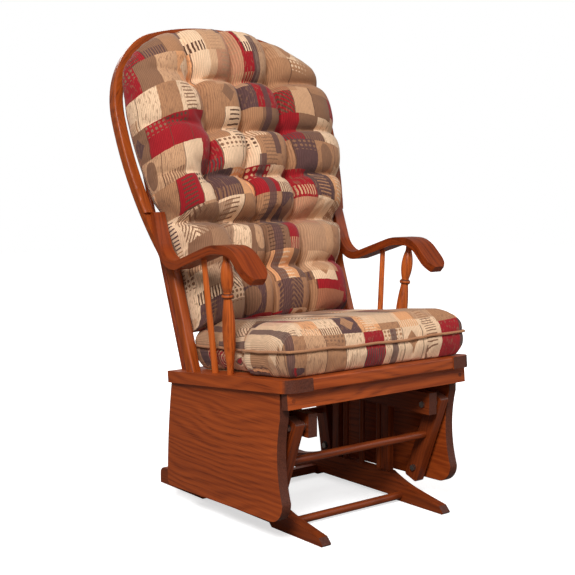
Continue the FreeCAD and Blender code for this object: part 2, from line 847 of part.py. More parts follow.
def make_back_spindles():
    turned = []
    foot_along = SIZES["deck_depth"] - SIZES["back_spindle_setback"]
    for count in range(-3, 4):
        x = SIZES["back_spindle_pitch"] * count
        foot = deck_point(x, foot_along)
        top_x = x * SIZES["back_spindle_fan"]
        top = bow_point(top_x, bow_rise_at(top_x))
        turned.append(tapered(f"back_spindle_{count + 4}", foot, top, "back_spindle_foot_radius",
                              "back_spindle_top_radius", "back_spindle_tenon"))
    return node(group("back_spindles", turned), "back_spindles")


def make_bow(spindles, armrest_strips):
    """The bent bow, bored for the spindles and notched where the armrests are let into its legs."""
    start, steps = bow_steps()
    half = SIZES["bow_depth"] / 2
    strip = band(start, UPWARD, steps, SIZES["bow_width"])
    strip.translate(Vector(0, 0, -half))
    bent = strip.extrude(Vector(0, 0, 2 * half))
    long_edges = [edge for edge in bent.Edges
                  if edge.BoundBox.ZLength < FLAT and edge.Length > SIZES["bow_width"] + FLAT]
    blank = doc.addObject("Part::Feature", "bow_blank")
    blank.Shape = bent.makeFillet(SIZES["bow_edge_round"], long_edges)
    on_bow(blank)
    return node(cut("bow", blank, [spindles] + armrest_strips), "bow")


# Arms: bent armrest, turned post and thin spindle

def make_post(name, side):
    foot = Vector(SIZES["post_foot_x"] * side, SIZES["post_foot_y"], deck_top_z(size("post_foot_y")).value)
    top = Vector(SIZES["post_top_x"] * side, SIZES["post_top_y"], SIZES["post_top_z"])
    axis = top - foot
    body = doc.addObject("PartDesign::Body", name)
    sketch = sketch_in(body, "XZ_Plane")
    foot_radius, neck, tenon = size("post_foot_radius"), size("post_neck_radius"), size("post_tenon")
    draw(sketch, [
        (0.0, -tenon), (foot_radius, -tenon), (foot_radius, size("post_vase_start")),
        (neck, size("post_vase_end")), (neck, size("post_ring_start")), (neck, size("post_ring_end")),
        (neck, size("post_bulb_start")), (foot_radius, size("post_bulb_end")),
        (foot_radius, axis.Length), (0.0, axis.Length),
    ], {2: size("post_vase_radius"), 4: size("post_ring_radius"), 6: size("post_bulb_radius")})
    turned = body.newObject("PartDesign::Revolution", name + "_turning")
    turned.Profile = sketch
    turned.ReferenceAxis = (sketch, ["V_Axis"])
    turned.Angle = QUARTER_TURN.value * 4
    axis.normalize()
    body.Placement = Placement(foot, Rotation(Vector(0, 0, 1), axis))
    return node(body, name)


def make_arm_spindle(name, side):
    foot_y = size("arm_spindle_foot_y")
    foot = Vector(SIZES["arm_spindle_foot_x"] * side, foot_y.value, deck_top_z(foot_y).value)
    top = Vector(SIZES["arm_spindle_top_x"] * side, SIZES["arm_spindle_top_y"], SIZES["arm_spindle_top_z"])
    spindle = tapered(name, foot, top, "arm_spindle_foot_radius", "arm_spindle_top_radius", "post_tenon")
    return node(spindle, name)


def armrest_steps():
    """The armrest's centre line in side view, with forward (-Y) to the right."""
    lean = SIZES["bow_recline"]
    radius, rise = SIZES["armrest_dip_radius"], SIZES["armrest_rise"]
    top_z = SIZES["armrest_top_z"]
    clear = (SIZES["bow_depth"] + SIZES["armrest_thickness"]) / 2 - SIZES["armrest_lap"]
    clear /= math.cos(math.radians(lean))
    top_y = SIZES["bow_foot_y"] + (top_z - SIZES["bow_foot_z"]) * math.tan(math.radians(lean)) - clear
    bend_z = SIZES["armrest_dip_z"] + radius * (1 - math.sin(math.radians(lean)))
    drop = (top_z - bend_z) / math.cos(math.radians(lean))
    droop = SIZES["armrest_droop"]
    steps = [
        ("line", drop, 0.0),
        ("arc", radius, 90 - lean + rise),
        ("line", SIZES["armrest_rise_length"], 0.0),
        ("arc", SIZES["armrest_crest_radius"], -rise),
        ("line", SIZES["armrest_crest_length"], 0.0),
        ("arc", SIZES["armrest_droop_radius"], -droop),
        ("line", SIZES["armrest_tip_length"], 0.0),
    ]
    return (-top_y, top_z), -90 + lean, steps


def common(name, base, tool):
    item = doc.addObject("Part::Common", name)
    item.Base = base
    item.Tool = tool
    return item


def make_armrest_strip(name, side):
    """The bent strip before it is sawn to its plan outline, with its upper end cut level."""
    start, heading, steps = armrest_steps()
    strip = band(start, heading, steps, SIZES["armrest_thickness"])
    wide = SIZES["armrest_blank_width"]
    bent = doc.addObject("Part::Feature", name + "_bend")
    bent.Shape = strip.extrude(Vector(0, 0, wide))
    turned = Rotation(Vector(0, -1, 0), Vector(0, 0, 1), Vector(-1, 0, 0))
    bent.Placement = Placement(Vector(SIZES["armrest_x"] * side + wide / 2, 0, 0), turned)
    level = box(name + "_level", size("deck_width") * 2, size("deck_width") * 2, size("armrest_top_z"))
    place(level, -size("deck_width"), -size("deck_width"), 0.0)
    return common(name + "_strip", bent, level)


def make_armrest(name, side, strip, tools):
    """The strip sawn to its plan outline and drilled for the post and the spindle."""
    x, tip_x, rear_x = size("armrest_x"), size("armrest_tip_x"), size("armrest_rear_x")
    paddle, middle, rear = size("armrest_paddle_half"), size("armrest_mid_half"), size("armrest_rear_half")
    behind = size("armrest_rear_y")
    corners = [
        ((tip_x - paddle) * side, size("armrest_paddle_y")),
        ((tip_x + paddle) * side, size("armrest_paddle_y")),
        ((x + middle) * side, size("armrest_mid_y")),
        ((rear_x + rear) * side, behind),
        ((rear_x - rear) * side, behind),
        ((x - middle) * side, size("armrest_mid_y")),
    ]
    arcs = {0: size("armrest_end_radius") * side}
    plan = plate(name + "_plan", "XY_Plane", corners, size("armrest_top_z"), arcs)
    return node(cut(name, common(name + "_sawn", strip, plan), tools), name)


# Soft parts

def soft(name, shape, place_in_frame):
    item = doc.addObject("Part::Feature", name)
    item.Shape = shape
    place_in_frame(item)
    return node(item, name)


def closed_wire(points, radii=None):
    """A closed ring of lines, with shallow arcs on the sides that radii names."""
    radii = radii or {}
    edges = []
    for index, start in enumerate(points):
        end = points[(index + 1) % len(points)]
        if index in radii:
            middle = arc_middle(start, end, radii[index])
            edges.append(Part.Arc(start, middle, end).toShape())
        else:
            edges.append(Part.LineSegment(start, end).toShape())
    return Part.Wire(edges)


# Directions from level, in degrees, at which the crown of the seat cushion has a ring
CROWN_ANGLES = (0.0, 22.0, 45.0, 70.0)
# How much of an inset the ears take along the cushion's depth
EAR_SHARE = 0.6


def seat_cushion_ring(inset, height):
    """The T-shaped outline of the seat cushion, drawn in by inset, at a height over the deck."""
    ear, ear_end = SIZES["cushion_ear_half"] - inset, SIZES["cushion_ear_end_y"] - inset * EAR_SHARE
    half, start = SIZES["cushion_body_half"] - inset, SIZES["cushion_body_start_y"] - inset * EAR_SHARE
    rear_half, rear = SIZES["cushion_rear_half"] - inset, SIZES["cushion_rear_y"] - inset
    front = SIZES["cushion_front_y"] + inset
    outline = [(-ear, front), (ear, front), (ear, ear_end), (half, start),
               (rear_half, rear), (-rear_half, rear), (-half, start), (-ear, ear_end)]
    draw_in = -SIZES["cushion_side_draw"]
    radii = {0: -SIZES["cushion_front_draw"], 3: draw_in, 5: draw_in}
    return closed_wire([Vector(x, y, height) for x, y in outline], radii)


def make_seat_cushion():
    """Rings from the deck out to the welt and then in over a crown of elliptical section."""
    welt, crown = SIZES["cushion_welt_z"], SIZES["cushion_crown_z"]
    draw_in = SIZES["cushion_crown_inset"]
    levels = [(SIZES["cushion_foot_inset"], SIZES["cushion_lift"]), (SIZES["cushion_side_inset"], welt / 2)]
    for angle in CROWN_ANGLES:
        turn = math.radians(angle)
        levels.append((draw_in * (1 - math.cos(turn)), welt + (crown - welt) * math.sin(turn)))
    shape = Part.makeLoft([seat_cushion_ring(inset, height) for inset, height in levels], True, False)
    soft("seat_cushion", shape, lambda item: on_deck(item, 0.0, 0.0, 0.0))


# Back cushion: the rise of each line across it, from the seat up, with its two edges and the tufts between
PAD_LINES = [
    (108.0, (-243.0, -116.0, -20.0, 96.0, 232.0)),
    (238.0, (-246.0, -112.0, -22.0, 92.0, 237.0)),
    (362.0, (-266.0, -138.0, -20.0, 96.0, 257.0)),
    (478.0, (-291.0, -152.0, -36.0, 104.0, 275.0)),
    (602.0, (-317.0, -118.0, -14.0, 112.0, 306.0)),
    (734.0, (-321.0, -146.0, -17.0, 98.0, 311.0)),
]
# Its arched top edge
PAD_TOP = [(-262.0, 840.0), (-150.0, 890.0), (-18.0, 907.0), (106.0, 892.0), (240.0, 828.0)]
PAD_CREST = 908.0
# Share of the bed's height at its shoulder
PAD_SHOULDER = 0.62
# Share of the way to a puff's middle, and of its height, at each ring of a puff
PUFF_LEVELS = [(0.0, 0.0), (0.15, 0.45), (0.42, 0.82), (0.74, 1.0)]


def pad_grid(inset, height):
    """Corners of the tufted squares, row by row, with the outer ones drawn in and all raised off the rim."""
    flat = [[(x, rise) for x in places] for rise, places in PAD_LINES] + [PAD_TOP]
    top, slope = SIZES["pad_edge_top_t"], SIZES["pad_edge_slope"]
    grid = []
    for row, points in enumerate(flat):
        upward = inset * ((row == 0) - (row == len(flat) - 1))
        line = []
        for column, (x, rise) in enumerate(points):
            across = inset * ((column == 0) - (column == len(points) - 1))
            place_up = rise + upward
            line.append(Vector(x + across, place_up, top - slope * (PAD_CREST - place_up) + height))
        grid.append(line)
    return grid


def around(grid):
    """The outer corners of a grid, in order round it."""
    rising = [row[-1] for row in grid[1:-1]]
    falling = [row[0] for row in grid[-2:0:-1]]
    return grid[0] + rising + grid[-1][::-1] + falling


def to_pad_back(point):
    depth = SIZES["pad_back_top_t"] - SIZES["pad_back_slope"] * (PAD_CREST - point.y)
    return Vector(point.x * SIZES["pad_back_taper"], point.y, depth)


def make_back_cushion():
    """A bed with rounded shoulders in the bow's plane, and one puff on each square of its tufted front."""
    bed_height = SIZES["pad_bed_height"]
    rim = around(pad_grid(0.0, 0.0))
    shoulder = around(pad_grid(SIZES["pad_shoulder_inset"], bed_height * PAD_SHOULDER))
    rows = pad_grid(SIZES["pad_bed_inset"], bed_height)
    rings = [[to_pad_back(point) for point in rim], rim, shoulder, around(rows)]
    bed = Part.makeLoft([closed_wire(ring) for ring in rings], True, True)
    puffs = []
    for low, high in zip(rows, rows[1:]):
        for count in range(len(low) - 1):
            square = [low[count], low[count + 1], high[count + 1], high[count]]
            middle = (square[0] + square[1] + square[2] + square[3]) * 0.25
            levels = []
            for inset, share in PUFF_LEVELS:
                raised = Vector(0, 0, SIZES["pad_puff_height"] * share)
                levels.append(closed_wire([point + (middle - point) * inset + raised for point in square]))
            puffs.append(Part.makeLoft(levels, True, False))
    shape = bed.multiFuse(puffs).removeSplitter()
    soft("back_cushion", shape.Solids[0], on_bow)


# Order of making

make_base()
make_arm_pair("front")
make_arm_pair("rear")
make_upper_pivots()
make_lower_pivots()
back_spindles = make_back_spindles()
strips, arm_turnings = [], {}
for word, side in SIDES:
    make_panel(f"{word}_panel", side)
    arm_turnings[word] = [make_post(f"{word}_arm_post", side), make_arm_spindle(f"{word}_arm_spindle", side)]
    strips.append(make_armrest_strip(f"{word}_armrest", side))
    make_armrest(f"{word}_armrest", side, strips[-1], arm_turnings[word])
bow = make_bow(back_spindles, strips)
deck_tools = {word: turnings + [bow, back_spindles] for word, turnings in arm_turnings.items()}
deck_tools["rear"] = [back_spindles]
make_deck(deck_tools)
make_apron()
make_seat_cushion()
make_back_cushion()
doc.recompute()

# Nothing is written unless every object is sound

faults = [item.Name for item in doc.Objects if "Invalid" in item.State or "Error" in item.State]
faults += [item.Label for item in nodes if item.Shape.isNull() or not item.Shape.isValid()]
if faults:
    raise SystemExit("unsound: " + ", ".join(faults))
os.makedirs("parts", exist_ok=True)
for item in nodes:
    item.Shape.exportStep(f"parts/{item.Label}.step")
print(len(nodes), "nodes written")
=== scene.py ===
"""Looks of the bow-back glider chair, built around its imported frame. Metres, the front faces -Y."""
import math

import bmesh
import bpy
import numpy as np
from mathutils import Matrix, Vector
from mathutils.bvhtree import BVHTree


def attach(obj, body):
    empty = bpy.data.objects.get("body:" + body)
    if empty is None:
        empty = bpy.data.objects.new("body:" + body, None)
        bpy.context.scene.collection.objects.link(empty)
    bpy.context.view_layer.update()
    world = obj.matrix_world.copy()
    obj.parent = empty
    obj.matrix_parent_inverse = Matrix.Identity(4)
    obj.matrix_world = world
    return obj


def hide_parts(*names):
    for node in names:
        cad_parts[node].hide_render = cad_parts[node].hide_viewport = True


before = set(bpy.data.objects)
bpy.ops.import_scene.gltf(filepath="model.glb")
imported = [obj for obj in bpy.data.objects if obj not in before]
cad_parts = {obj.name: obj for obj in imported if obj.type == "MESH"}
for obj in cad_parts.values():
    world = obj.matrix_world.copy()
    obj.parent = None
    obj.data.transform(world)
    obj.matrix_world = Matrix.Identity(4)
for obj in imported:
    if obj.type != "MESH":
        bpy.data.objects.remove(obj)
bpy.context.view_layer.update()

MM = 0.001
rng = np.random.default_rng(7)

# Planes of the chair: the reclined bow and the sloping deck

BOW_FOOT = (0.0, 0.0452, 0.3414)
BOW_LEAN = math.radians(19.6)
DECK_FRONT = (0.0, -0.3505, 0.378)
DECK_TILT = math.radians(5.2)


def bow_points(x, s, t):
    """Points of the bow's plane, in mm: x across, s up along the bow, t towards the sitter."""
    y = BOW_FOOT[1] + (s * math.sin(BOW_LEAN) - t * math.cos(BOW_LEAN)) * MM
    z = BOW_FOOT[2] + (s * math.cos(BOW_LEAN) + t * math.sin(BOW_LEAN)) * MM
    return np.stack([x * MM, y, z], axis=-1)


def deck_points(x, along, up):
    """Points over the deck, in mm: along runs back from its front edge, up is square to it."""
    y = DECK_FRONT[1] + (along * math.cos(DECK_TILT) + up * math.sin(DECK_TILT)) * MM
    z = DECK_FRONT[2] + (-along * math.sin(DECK_TILT) + up * math.cos(DECK_TILT)) * MM
    return np.stack([x * MM, y, z], axis=-1)


def off_deck(points):
    """The reverse of deck_points, for an array of points in metres."""
    y, z = points[:, 1] - DECK_FRONT[1], points[:, 2] - DECK_FRONT[2]
    along = y * math.cos(DECK_TILT) - z * math.sin(DECK_TILT)
    up = y * math.sin(DECK_TILT) + z * math.cos(DECK_TILT)
    return points[:, 0] / MM, along / MM, up / MM


# Materials

class Shader:
    """Builds one procedural material, node by node."""

    def __init__(self, name):
        self.material = bpy.data.materials.new(name)
        self.material.use_nodes = True
        self.nodes = self.material.node_tree.nodes
        self.links = self.material.node_tree.links
        self.surface = self.nodes["Principled BSDF"]

    def join(self, value, socket):
        if isinstance(value, bpy.types.NodeSocket):
            self.links.new(value, socket)
        else:
            socket.default_value = value

    def add(self, kind, inputs=(), **settings):
        item = self.nodes.new("ShaderNode" + kind)
        for key, value in settings.items():
            setattr(item, key, value)
        for key, value in dict(inputs).items():
            self.join(value, item.inputs[key])
        return item

    def attribute(self, name):
        return self.add("Attribute", attribute_name=name)

    def math(self, operation, first, second=0.0):
        return self.add("Math", {0: first, 1: second}, operation=operation).outputs[0]

    def scaled(self, vector, factors):
        return self.add("VectorMath", {0: vector, 1: factors}, operation="MULTIPLY").outputs[0]

    def noise(self, vector, scale=1.0, detail=2.0, roughness=0.5):
        inputs = {"Vector": vector, "Scale": scale, "Detail": detail, "Roughness": roughness}
        return self.add("TexNoise", inputs).outputs[0]

    def mix(self, share, first, second, blend="MIX"):
        item = self.add("Mix", data_type="RGBA", blend_type=blend)
        for value, index in ((share, 0), (first, 6), (second, 7)):
            self.join(value, item.inputs[index])
        return item.outputs[2]

    def ramp(self, share, stops, interpolation="LINEAR"):
        item = self.add("ValToRGB", {0: share})
        item.color_ramp.interpolation = interpolation
        elements = item.color_ramp.elements
        while len(elements) < len(stops):
            elements.new(1.0)
        for element, (place, colour) in zip(elements, stops):
            element.position = place
            element.color = (*colour, 1.0)
        return item.outputs[0]

    def between(self, share, low, high):
        """Maps a share from low..high to 0..1, clamped."""
        inputs = {"Value": share, "From Min": low, "From Max": high}
        return self.add("MapRange", inputs, clamp=True).outputs[0]

    def spread(self, share, low, high):
        """Maps a share from 0..1 to low..high."""
        return self.add("MapRange", {"Value": share, "To Min": low, "To Max": high}, clamp=True).outputs[0]

    def bump(self, height, distance, strength=1.0, over=None):
        inputs = {"Height": height, "Distance": distance, "Strength": strength}
        if over is not None:
            inputs["Normal"] = over
        return self.add("Bump", inputs).outputs[0]

    def finish(self, **sockets):
        for name, value in sockets.items():
            self.join(value, self.surface.inputs[name.replace("_", " ")])
        return self.material


END_DARK = (0.042, 0.013, 0.008)
END_LIGHT = (0.105, 0.034, 0.021)


def oak(name, light, dark, ring_scale=1.0):
    """Stained oak under satin lacquer. It reads grain, in metres along, across and through the board."""
    s = Shader(name)
    grain = s.attribute("grain").outputs["Vector"]
    place = s.add("SeparateXYZ", {0: grain}).outputs
    ring_size = 9.0 * ring_scale
    wander = s.noise(s.scaled(grain, (2.4, ring_size, ring_size)), detail=2.0, roughness=0.45)
    turns = s.math("MULTIPLY", s.math("ADD", place[1], s.math("MULTIPLY", place[2], 0.6)), 400.0)
    wave = s.math("SINE", s.math("ADD", turns, s.math("MULTIPLY", wander, 46.0)))
    rings = s.between(wave, -1.0, 1.0)
    streak = s.noise(s.scaled(grain, (4.0, 260.0, 260.0)), detail=3.0, roughness=0.6)
    pore = s.noise(s.scaled(grain, (16.0, 700.0, 700.0)), detail=1.0)
    early = s.math("MULTIPLY", s.between(rings, 0.4, 0.05), s.between(wander, 0.36, 0.62))
    pores = s.math("MULTIPLY", s.between(pore, 0.46, 0.64), s.spread(early, 0.16, 1.0))
    broad = s.noise(s.scaled(grain, (2.2, 9.0, 9.0)), detail=2.0)
    tone = s.math("ADD", s.math("MULTIPLY", rings, 0.16), s.math("MULTIPLY", streak, 0.66))
    tone = s.math("ADD", tone, s.math("MULTIPLY", s.math("SUBTRACT", broad, 0.5), 0.5))
    middle = [0.5 * (a + b) for a, b in zip(light, dark)]
    colour = s.ramp(tone, [(0.14, dark), (0.42, middle), (0.72, light)])
    deep = [c * 0.42 for c in dark]
    colour = s.mix(s.math("MULTIPLY", pores, 0.62), colour, (*deep, 1.0))
    end = s.attribute("end").outputs["Fac"]
    end_noise = s.noise(s.scaled(grain, (60.0, 420.0, 420.0)), detail=2.0)
    end_colour = s.ramp(end_noise, [(0.3, END_DARK), (0.7, END_LIGHT)])
    colour = s.mix(s.math("MULTIPLY", end, 0.9), colour, end_colour)
    dulling = s.math("ADD", s.math("MULTIPLY", streak, 0.6), s.math("MULTIPLY", pores, 0.4))
    rough = s.spread(dulling, 0.36, 0.58)
    normal = s.bump(s.math("SUBTRACT", s.math("MULTIPLY", streak, 0.25), pores), 0.0002, 0.45)
    s.surface.inputs["Coat Weight"].default_value = 0.07
    s.surface.inputs["Coat Roughness"].default_value = 0.18
    s.surface.inputs["Specular IOR Level"].default_value = 0.22
    return s.finish(Base_Color=colour, Roughness=rough, Normal=normal)


CREAM = (0.74, 0.50, 0.32)
SAND = (0.54, 0.30, 0.165)
TAN = (0.39, 0.19, 0.095)
TAUPE = (0.235, 0.115, 0.064)
BROWN = (0.105, 0.048, 0.029)
PLUM = (0.105, 0.050, 0.046)
RED = (0.31, 0.012, 0.017)
PEACH = (0.68, 0.32, 0.145)
WELT = (0.42, 0.19, 0.09)


def steps(*colours):
    """Stops of equal width, for a ramp with constant steps."""
    return [(index / len(colours), colour) for index, colour in enumerate(colours)]


def woven(s, cloth, colour, rib_pitch):
    """Finishes a cloth: ribs with painted shade in their grooves, slubs and flecks over a colour."""
    plain = s.add("SeparateXYZ", {0: cloth}).outputs
    rib = s.math("SINE", s.math("MULTIPLY", plain[0], 2 * math.pi / rib_pitch))
    slub = s.noise(s.scaled(cloth, (620.0, 60.0, 1.0)), detail=2.0)
    fleck = s.noise(s.scaled(cloth, (330.0, 330.0, 1.0)), detail=3.0, roughness=0.7)
    cloud = s.noise(s.scaled(cloth, (30.0, 30.0, 1.0)), detail=3.0, roughness=0.6)
    shade = s.math("ADD", s.math("MULTIPLY", slub, 0.5), s.math("MULTIPLY", fleck, 0.3))
    shade = s.spread(s.math("ADD", shade, s.math("MULTIPLY", cloud, 0.2)), 0.55, 1.62)
    # Painted shade: the colour darkens in the grooves between the ribs and lifts a little on their crests.
    shade = s.math("MULTIPLY", shade, s.spread(s.between(rib, -1.0, 1.0), 0.80, 1.08))
    grey = s.add("CombineColor", {0: shade, 1: shade, 2: shade}).outputs[0]
    height = s.math("ADD", s.math("MULTIPLY", rib, 0.5), s.math("MULTIPLY", slub, 0.9))
    s.surface.inputs["Roughness"].default_value = 0.92
    s.surface.inputs["Specular IOR Level"].default_value = 0.15
    s.surface.inputs["Sheen Weight"].default_value = 0.1
    s.surface.inputs["Sheen Roughness"].default_value = 0.5
    return s.finish(Base_Color=s.mix(1.0, colour, grey, "MULTIPLY"), Normal=s.bump(height, 0.0006, 0.7))


def piping(name):
    """Plain cloth for the cord in the seam."""
    s = Shader(name)
    return woven(s, s.attribute("cloth").outputs["Vector"], (*WELT, 1.0), 0.0026)


def tapestry(name):
    """Ribbed patchwork cloth. It reads cloth, in metres across and along the weave."""
    s = Shader(name)
    cloth = s.attribute("cloth").outputs["Vector"]
    waver = s.add("TexNoise", {"Vector": cloth, "Scale": 60.0, "Detail": 2.0}).outputs[1]
    uneven = s.add("VectorMath", {0: waver, 1: (0.5, 0.5, 0.5)}, operation="SUBTRACT").outputs[0]
    shift = s.scaled(uneven, (0.004, 0.004, 0.0))
    drawn = s.add("VectorMath", {0: cloth, 1: shift}, operation="ADD").outputs[0]
    axes = s.add("SeparateXYZ", {0: drawn}).outputs

    def cells(width, height, slip):
        """Patches in level rows, each row slid by chance. Gives the place in a patch and its chances."""
        row_place = s.math("DIVIDE", axes[1], height)
        row = s.math("FLOOR", row_place)
        seed = s.math("ADD", row, slip)
        slide = s.add("TexWhiteNoise", {"W": seed}, noise_dimensions="1D").outputs["Value"]
        place = s.math("ADD", s.math("DIVIDE", axes[0], width), s.math("MULTIPLY", slide, 3.0))
        column = s.math("FLOOR", place)
        key = s.add("CombineXYZ", {0: s.math("ADD", column, slip), 1: row}).outputs[0]
        chance = s.add("TexWhiteNoise", {"Vector": key}, noise_dimensions="2D")
        picks = s.add("SeparateXYZ", {0: chance.outputs["Color"]}).outputs
        return s.math("FRACT", place), s.math("FRACT", row_place), chance.outputs["Value"], picks

    def off_centre(share):
        return s.math("ABSOLUTE", s.math("SUBTRACT", share, 0.5))

    def under(value, limit):
        return s.math("LESS_THAN", value, limit)

    def both(first, second):
        return s.math("MULTIPLY", first, second)

    def chosen(pick, low, high):
        return both(s.math("GREATER_THAN", pick, low), under(pick, high))

    def comb(share, count, width):
        return under(s.math("FRACT", s.math("MULTIPLY", share, count)), width)

    def oval(across, up, wide, high):
        first = s.math("POWER", s.math("DIVIDE", off_centre(across), wide), 2.0)
        second = s.math("POWER", s.math("DIVIDE", off_centre(up), high), 2.0)
        return under(s.math("ADD", first, second), 1.0)

    across, up, chance, picks = cells(0.060, 0.076, 11.0)
    grounds = steps(CREAM, TAN, RED, SAND, TAUPE, CREAM, RED, TAN,
                    CREAM, PLUM, SAND, TAN, PEACH, CREAM, RED, TAUPE)
    ground = s.ramp(chance, grounds, "CONSTANT")
    accent = s.ramp(picks[0], steps(TAUPE, SAND, BROWN, TAN, TAUPE, CREAM, PLUM), "CONSTANT")
    hatch = both(comb(across, 9.0, 0.5), under(up, 0.36))
    leaf = oval(across, up, 0.30, 0.44)
    lozenge = under(s.math("ADD", off_centre(across), off_centre(up)), 0.34)
    chevron = comb(s.math("ADD", up, s.math("MULTIPLY", off_centre(across), 0.9)), 6.0, 0.4)
    dot_across = s.math("FRACT", s.math("MULTIPLY", across, 5.0))
    dot_up = s.math("FRACT", s.math("MULTIPLY", up, 6.0))
    dots = both(oval(dot_across, dot_up, 0.3, 0.3), s.math("GREATER_THAN", up, 0.6))
    ladder = both(comb(up, 8.0, 0.35), under(off_centre(across), 0.28))
    motifs = [(0.00, 0.24, hatch), (0.24, 0.34, leaf), (0.34, 0.42, lozenge), (0.42, 0.48, chevron),
              (0.48, 0.60, dots), (0.60, 0.74, ladder)]
    mask = 0.0
    for low, high, shape in motifs:
        mask = s.math("ADD", mask, both(chosen(picks[1], low, high), shape))
    colour = s.mix(mask, ground, accent)
    line = both(under(across, 0.035), s.math("GREATER_THAN", picks[2], 0.45))
    colour = s.mix(s.math("MULTIPLY", line, 0.8), colour, (*BROWN, 1.0))
    sketch = s.between(s.noise(s.scaled(cloth, (210.0, 70.0, 1.0)), detail=2.0), 0.56, 0.60)
    sketch = both(sketch, under(picks[2], 0.6))
    colour = s.mix(s.math("MULTIPLY", sketch, 0.5), colour, (*TAUPE, 1.0))
    across, up, chance, picks = cells(0.15, 0.246, 37.0)
    wash = s.ramp(picks[2], steps(TAN, SAND, TAUPE, TAN, CREAM), "CONSTANT")
    block = both(under(off_centre(across), 0.36), under(off_centre(up), 0.40))
    patch = both(block, s.math("GREATER_THAN", chance, 0.55))
    colour = s.mix(s.math("MULTIPLY", patch, 0.72), colour, wash)
    across, _, chance, picks = cells(0.105, 0.33, 71.0)
    ribbon = both(under(off_centre(across), 0.09), s.math("GREATER_THAN", chance, 0.66))
    ribbon_colour = s.ramp(picks[0], steps(PLUM, TAUPE, PLUM), "CONSTANT")
    colour = s.mix(s.math("MULTIPLY", ribbon, 0.85), colour, ribbon_colour)
    return woven(s, cloth, colour, 0.0044)


def plated(name, colour, metallic, low, high):
    """Small hardware: a little uneven in gloss and tone."""
    s = Shader(name)
    where = s.add("TexCoord").outputs["Object"]
    speck = s.noise(where, 900.0, 3.0)
    dark = [c * 0.6 for c in colour]
    s.surface.inputs["Metallic"].default_value = metallic
    tone = s.ramp(speck, [(0.3, dark), (0.7, colour)])
    gloss = s.spread(speck, low, high)
    return s.finish(Base_Color=tone, Roughness=gloss, Normal=s.bump(speck, 0.0001, 0.3))


OAK_PANEL = oak("oak_panel", (0.47, 0.088, 0.014), (0.20, 0.030, 0.005))
OAK_BASE = oak("oak_base", (0.29, 0.052, 0.009), (0.11, 0.018, 0.004), 2.0)
OAK_BENT = oak("oak_bent", (0.33, 0.053, 0.006), (0.14, 0.018, 0.002), 2.6)
OAK_BOW = oak("oak_bow", (0.44, 0.085, 0.010), (0.18, 0.027, 0.003), 2.6)
OAK_TURNED = oak("oak_turned", (0.68, 0.150, 0.022), (0.31, 0.054, 0.008), 2.6)
CLOTH = tapestry("tapestry")
CORD = piping("piping")
STEEL = plated("zinc_plate", (0.48, 0.46, 0.42), 1.0, 0.28, 0.5)
BRASS = plated("brass", (0.62, 0.44, 0.18), 1.0, 0.3, 0.5)
NYLON = plated("nylon", (0.03, 0.028, 0.026), 0.0, 0.4, 0.6)
PLYWOOD = plated("plywood", (0.50, 0.33, 0.18), 0.0, 0.6, 0.8)


# Wooden pieces: softened copies of the nodes, with their grain laid along them

SHARP = math.radians(28.0)


def co_array(mesh):
    flat = np.empty(len(mesh.vertices) * 3)
    mesh.vertices.foreach_get("co", flat)
    return flat.reshape(-1, 3)


def add_vectors(mesh, name, values):
    layer = mesh.attributes.new(name, "FLOAT_VECTOR", "POINT")
    layer.data.foreach_set("vector", np.asarray(values, dtype=np.float32).ravel())


def show(mesh, name, material):
    piece = bpy.data.objects.new(name, mesh)
    bpy.context.scene.collection.objects.link(piece)
    mesh.materials.clear()
    mesh.materials.append(material)
    return piece


def grain_axes(along, across):
    """Unit axes of a board: along its grain, across its face and through it."""
    first = np.array(along, dtype=float)
    first /= np.linalg.norm(first)
    second = np.array(across, dtype=float)
    second -= first * second.dot(first)
    second /= np.linalg.norm(second)
    return np.stack([first, second, np.cross(first, second)])


def softened(node, width, segments, shape=None):
    """A copy of a node's mesh, shaped first where shape is given, with its sharp edges rounded over."""
    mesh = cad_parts[node].data.copy()
    form = bmesh.new()
    form.from_mesh(mesh)
    bmesh.ops.remove_doubles(form, verts=form.verts, dist=1e-5)
    bmesh.ops.dissolve_limit(form, angle_limit=math.radians(0.4), verts=form.verts, edges=form.edges)
    if shape:
        shape(form)
    if width:
        sharp = [edge for edge in form.edges if edge.is_manifold and edge.calc_face_angle() > SHARP]
        bmesh.ops.bevel(form, geom=sharp, offset=width, segments=segments, profile=0.5, affect="EDGES",
                        clamp_overlap=True)
    form.to_mesh(mesh)
    form.free()
    while mesh.attributes.get("custom_normal"):
        mesh.attributes.remove(mesh.attributes["custom_normal"])
    mesh.shade_smooth()
    mesh.set_sharp_from_angle(angle=SHARP)
    return mesh


def wooden(node, body, material, axes, width=0.0025, segments=3, lay=None, shape=None):
    """Shows a node as a softened wooden piece. lay gives grain from points where the wood is bent."""
    mesh = softened(node, width, segments, shape)
    points = co_array(mesh)
    spread = lay(points) if lay else points @ axes.T
    add_vectors(mesh, "grain", spread + rng.uniform(0.0, 9.0, 3))
    facing = np.array([abs(Vector(axes[0]).dot(face.normal)) for face in mesh.polygons])
    ends = mesh.attributes.new("end", "FLOAT", "FACE")
    ends.data.foreach_set("value", np.clip((facing - 0.25) / 0.3, 0.0, 1.0) * (0.0 if lay else 1.0))
    piece = show(mesh, node + "_wood", material)
    weighted = piece.modifiers.new("normals", "WEIGHTED_NORMAL")
    weighted.keep_sharp = True
    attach(piece, body)
    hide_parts(node)


X_AXIS, Y_AXIS, Z_AXIS = (1, 0, 0), (0, 1, 0), (0, 0, 1)
ALONG_Y = grain_axes(Y_AXIS, Z_AXIS)
ALONG_Y_FLAT = grain_axes(Y_AXIS, X_AXIS)
ALONG_X = grain_axes(X_AXIS, Z_AXIS)
ALONG_Z = grain_axes(Z_AXIS, Y_AXIS)
ALONG_BOW = grain_axes((0, math.sin(BOW_LEAN), math.cos(BOW_LEAN)), X_AXIS)
FRONT_ARM_LEAN = math.radians(20.6)
REAR_ARM_LEAN = math.radians(10.2)


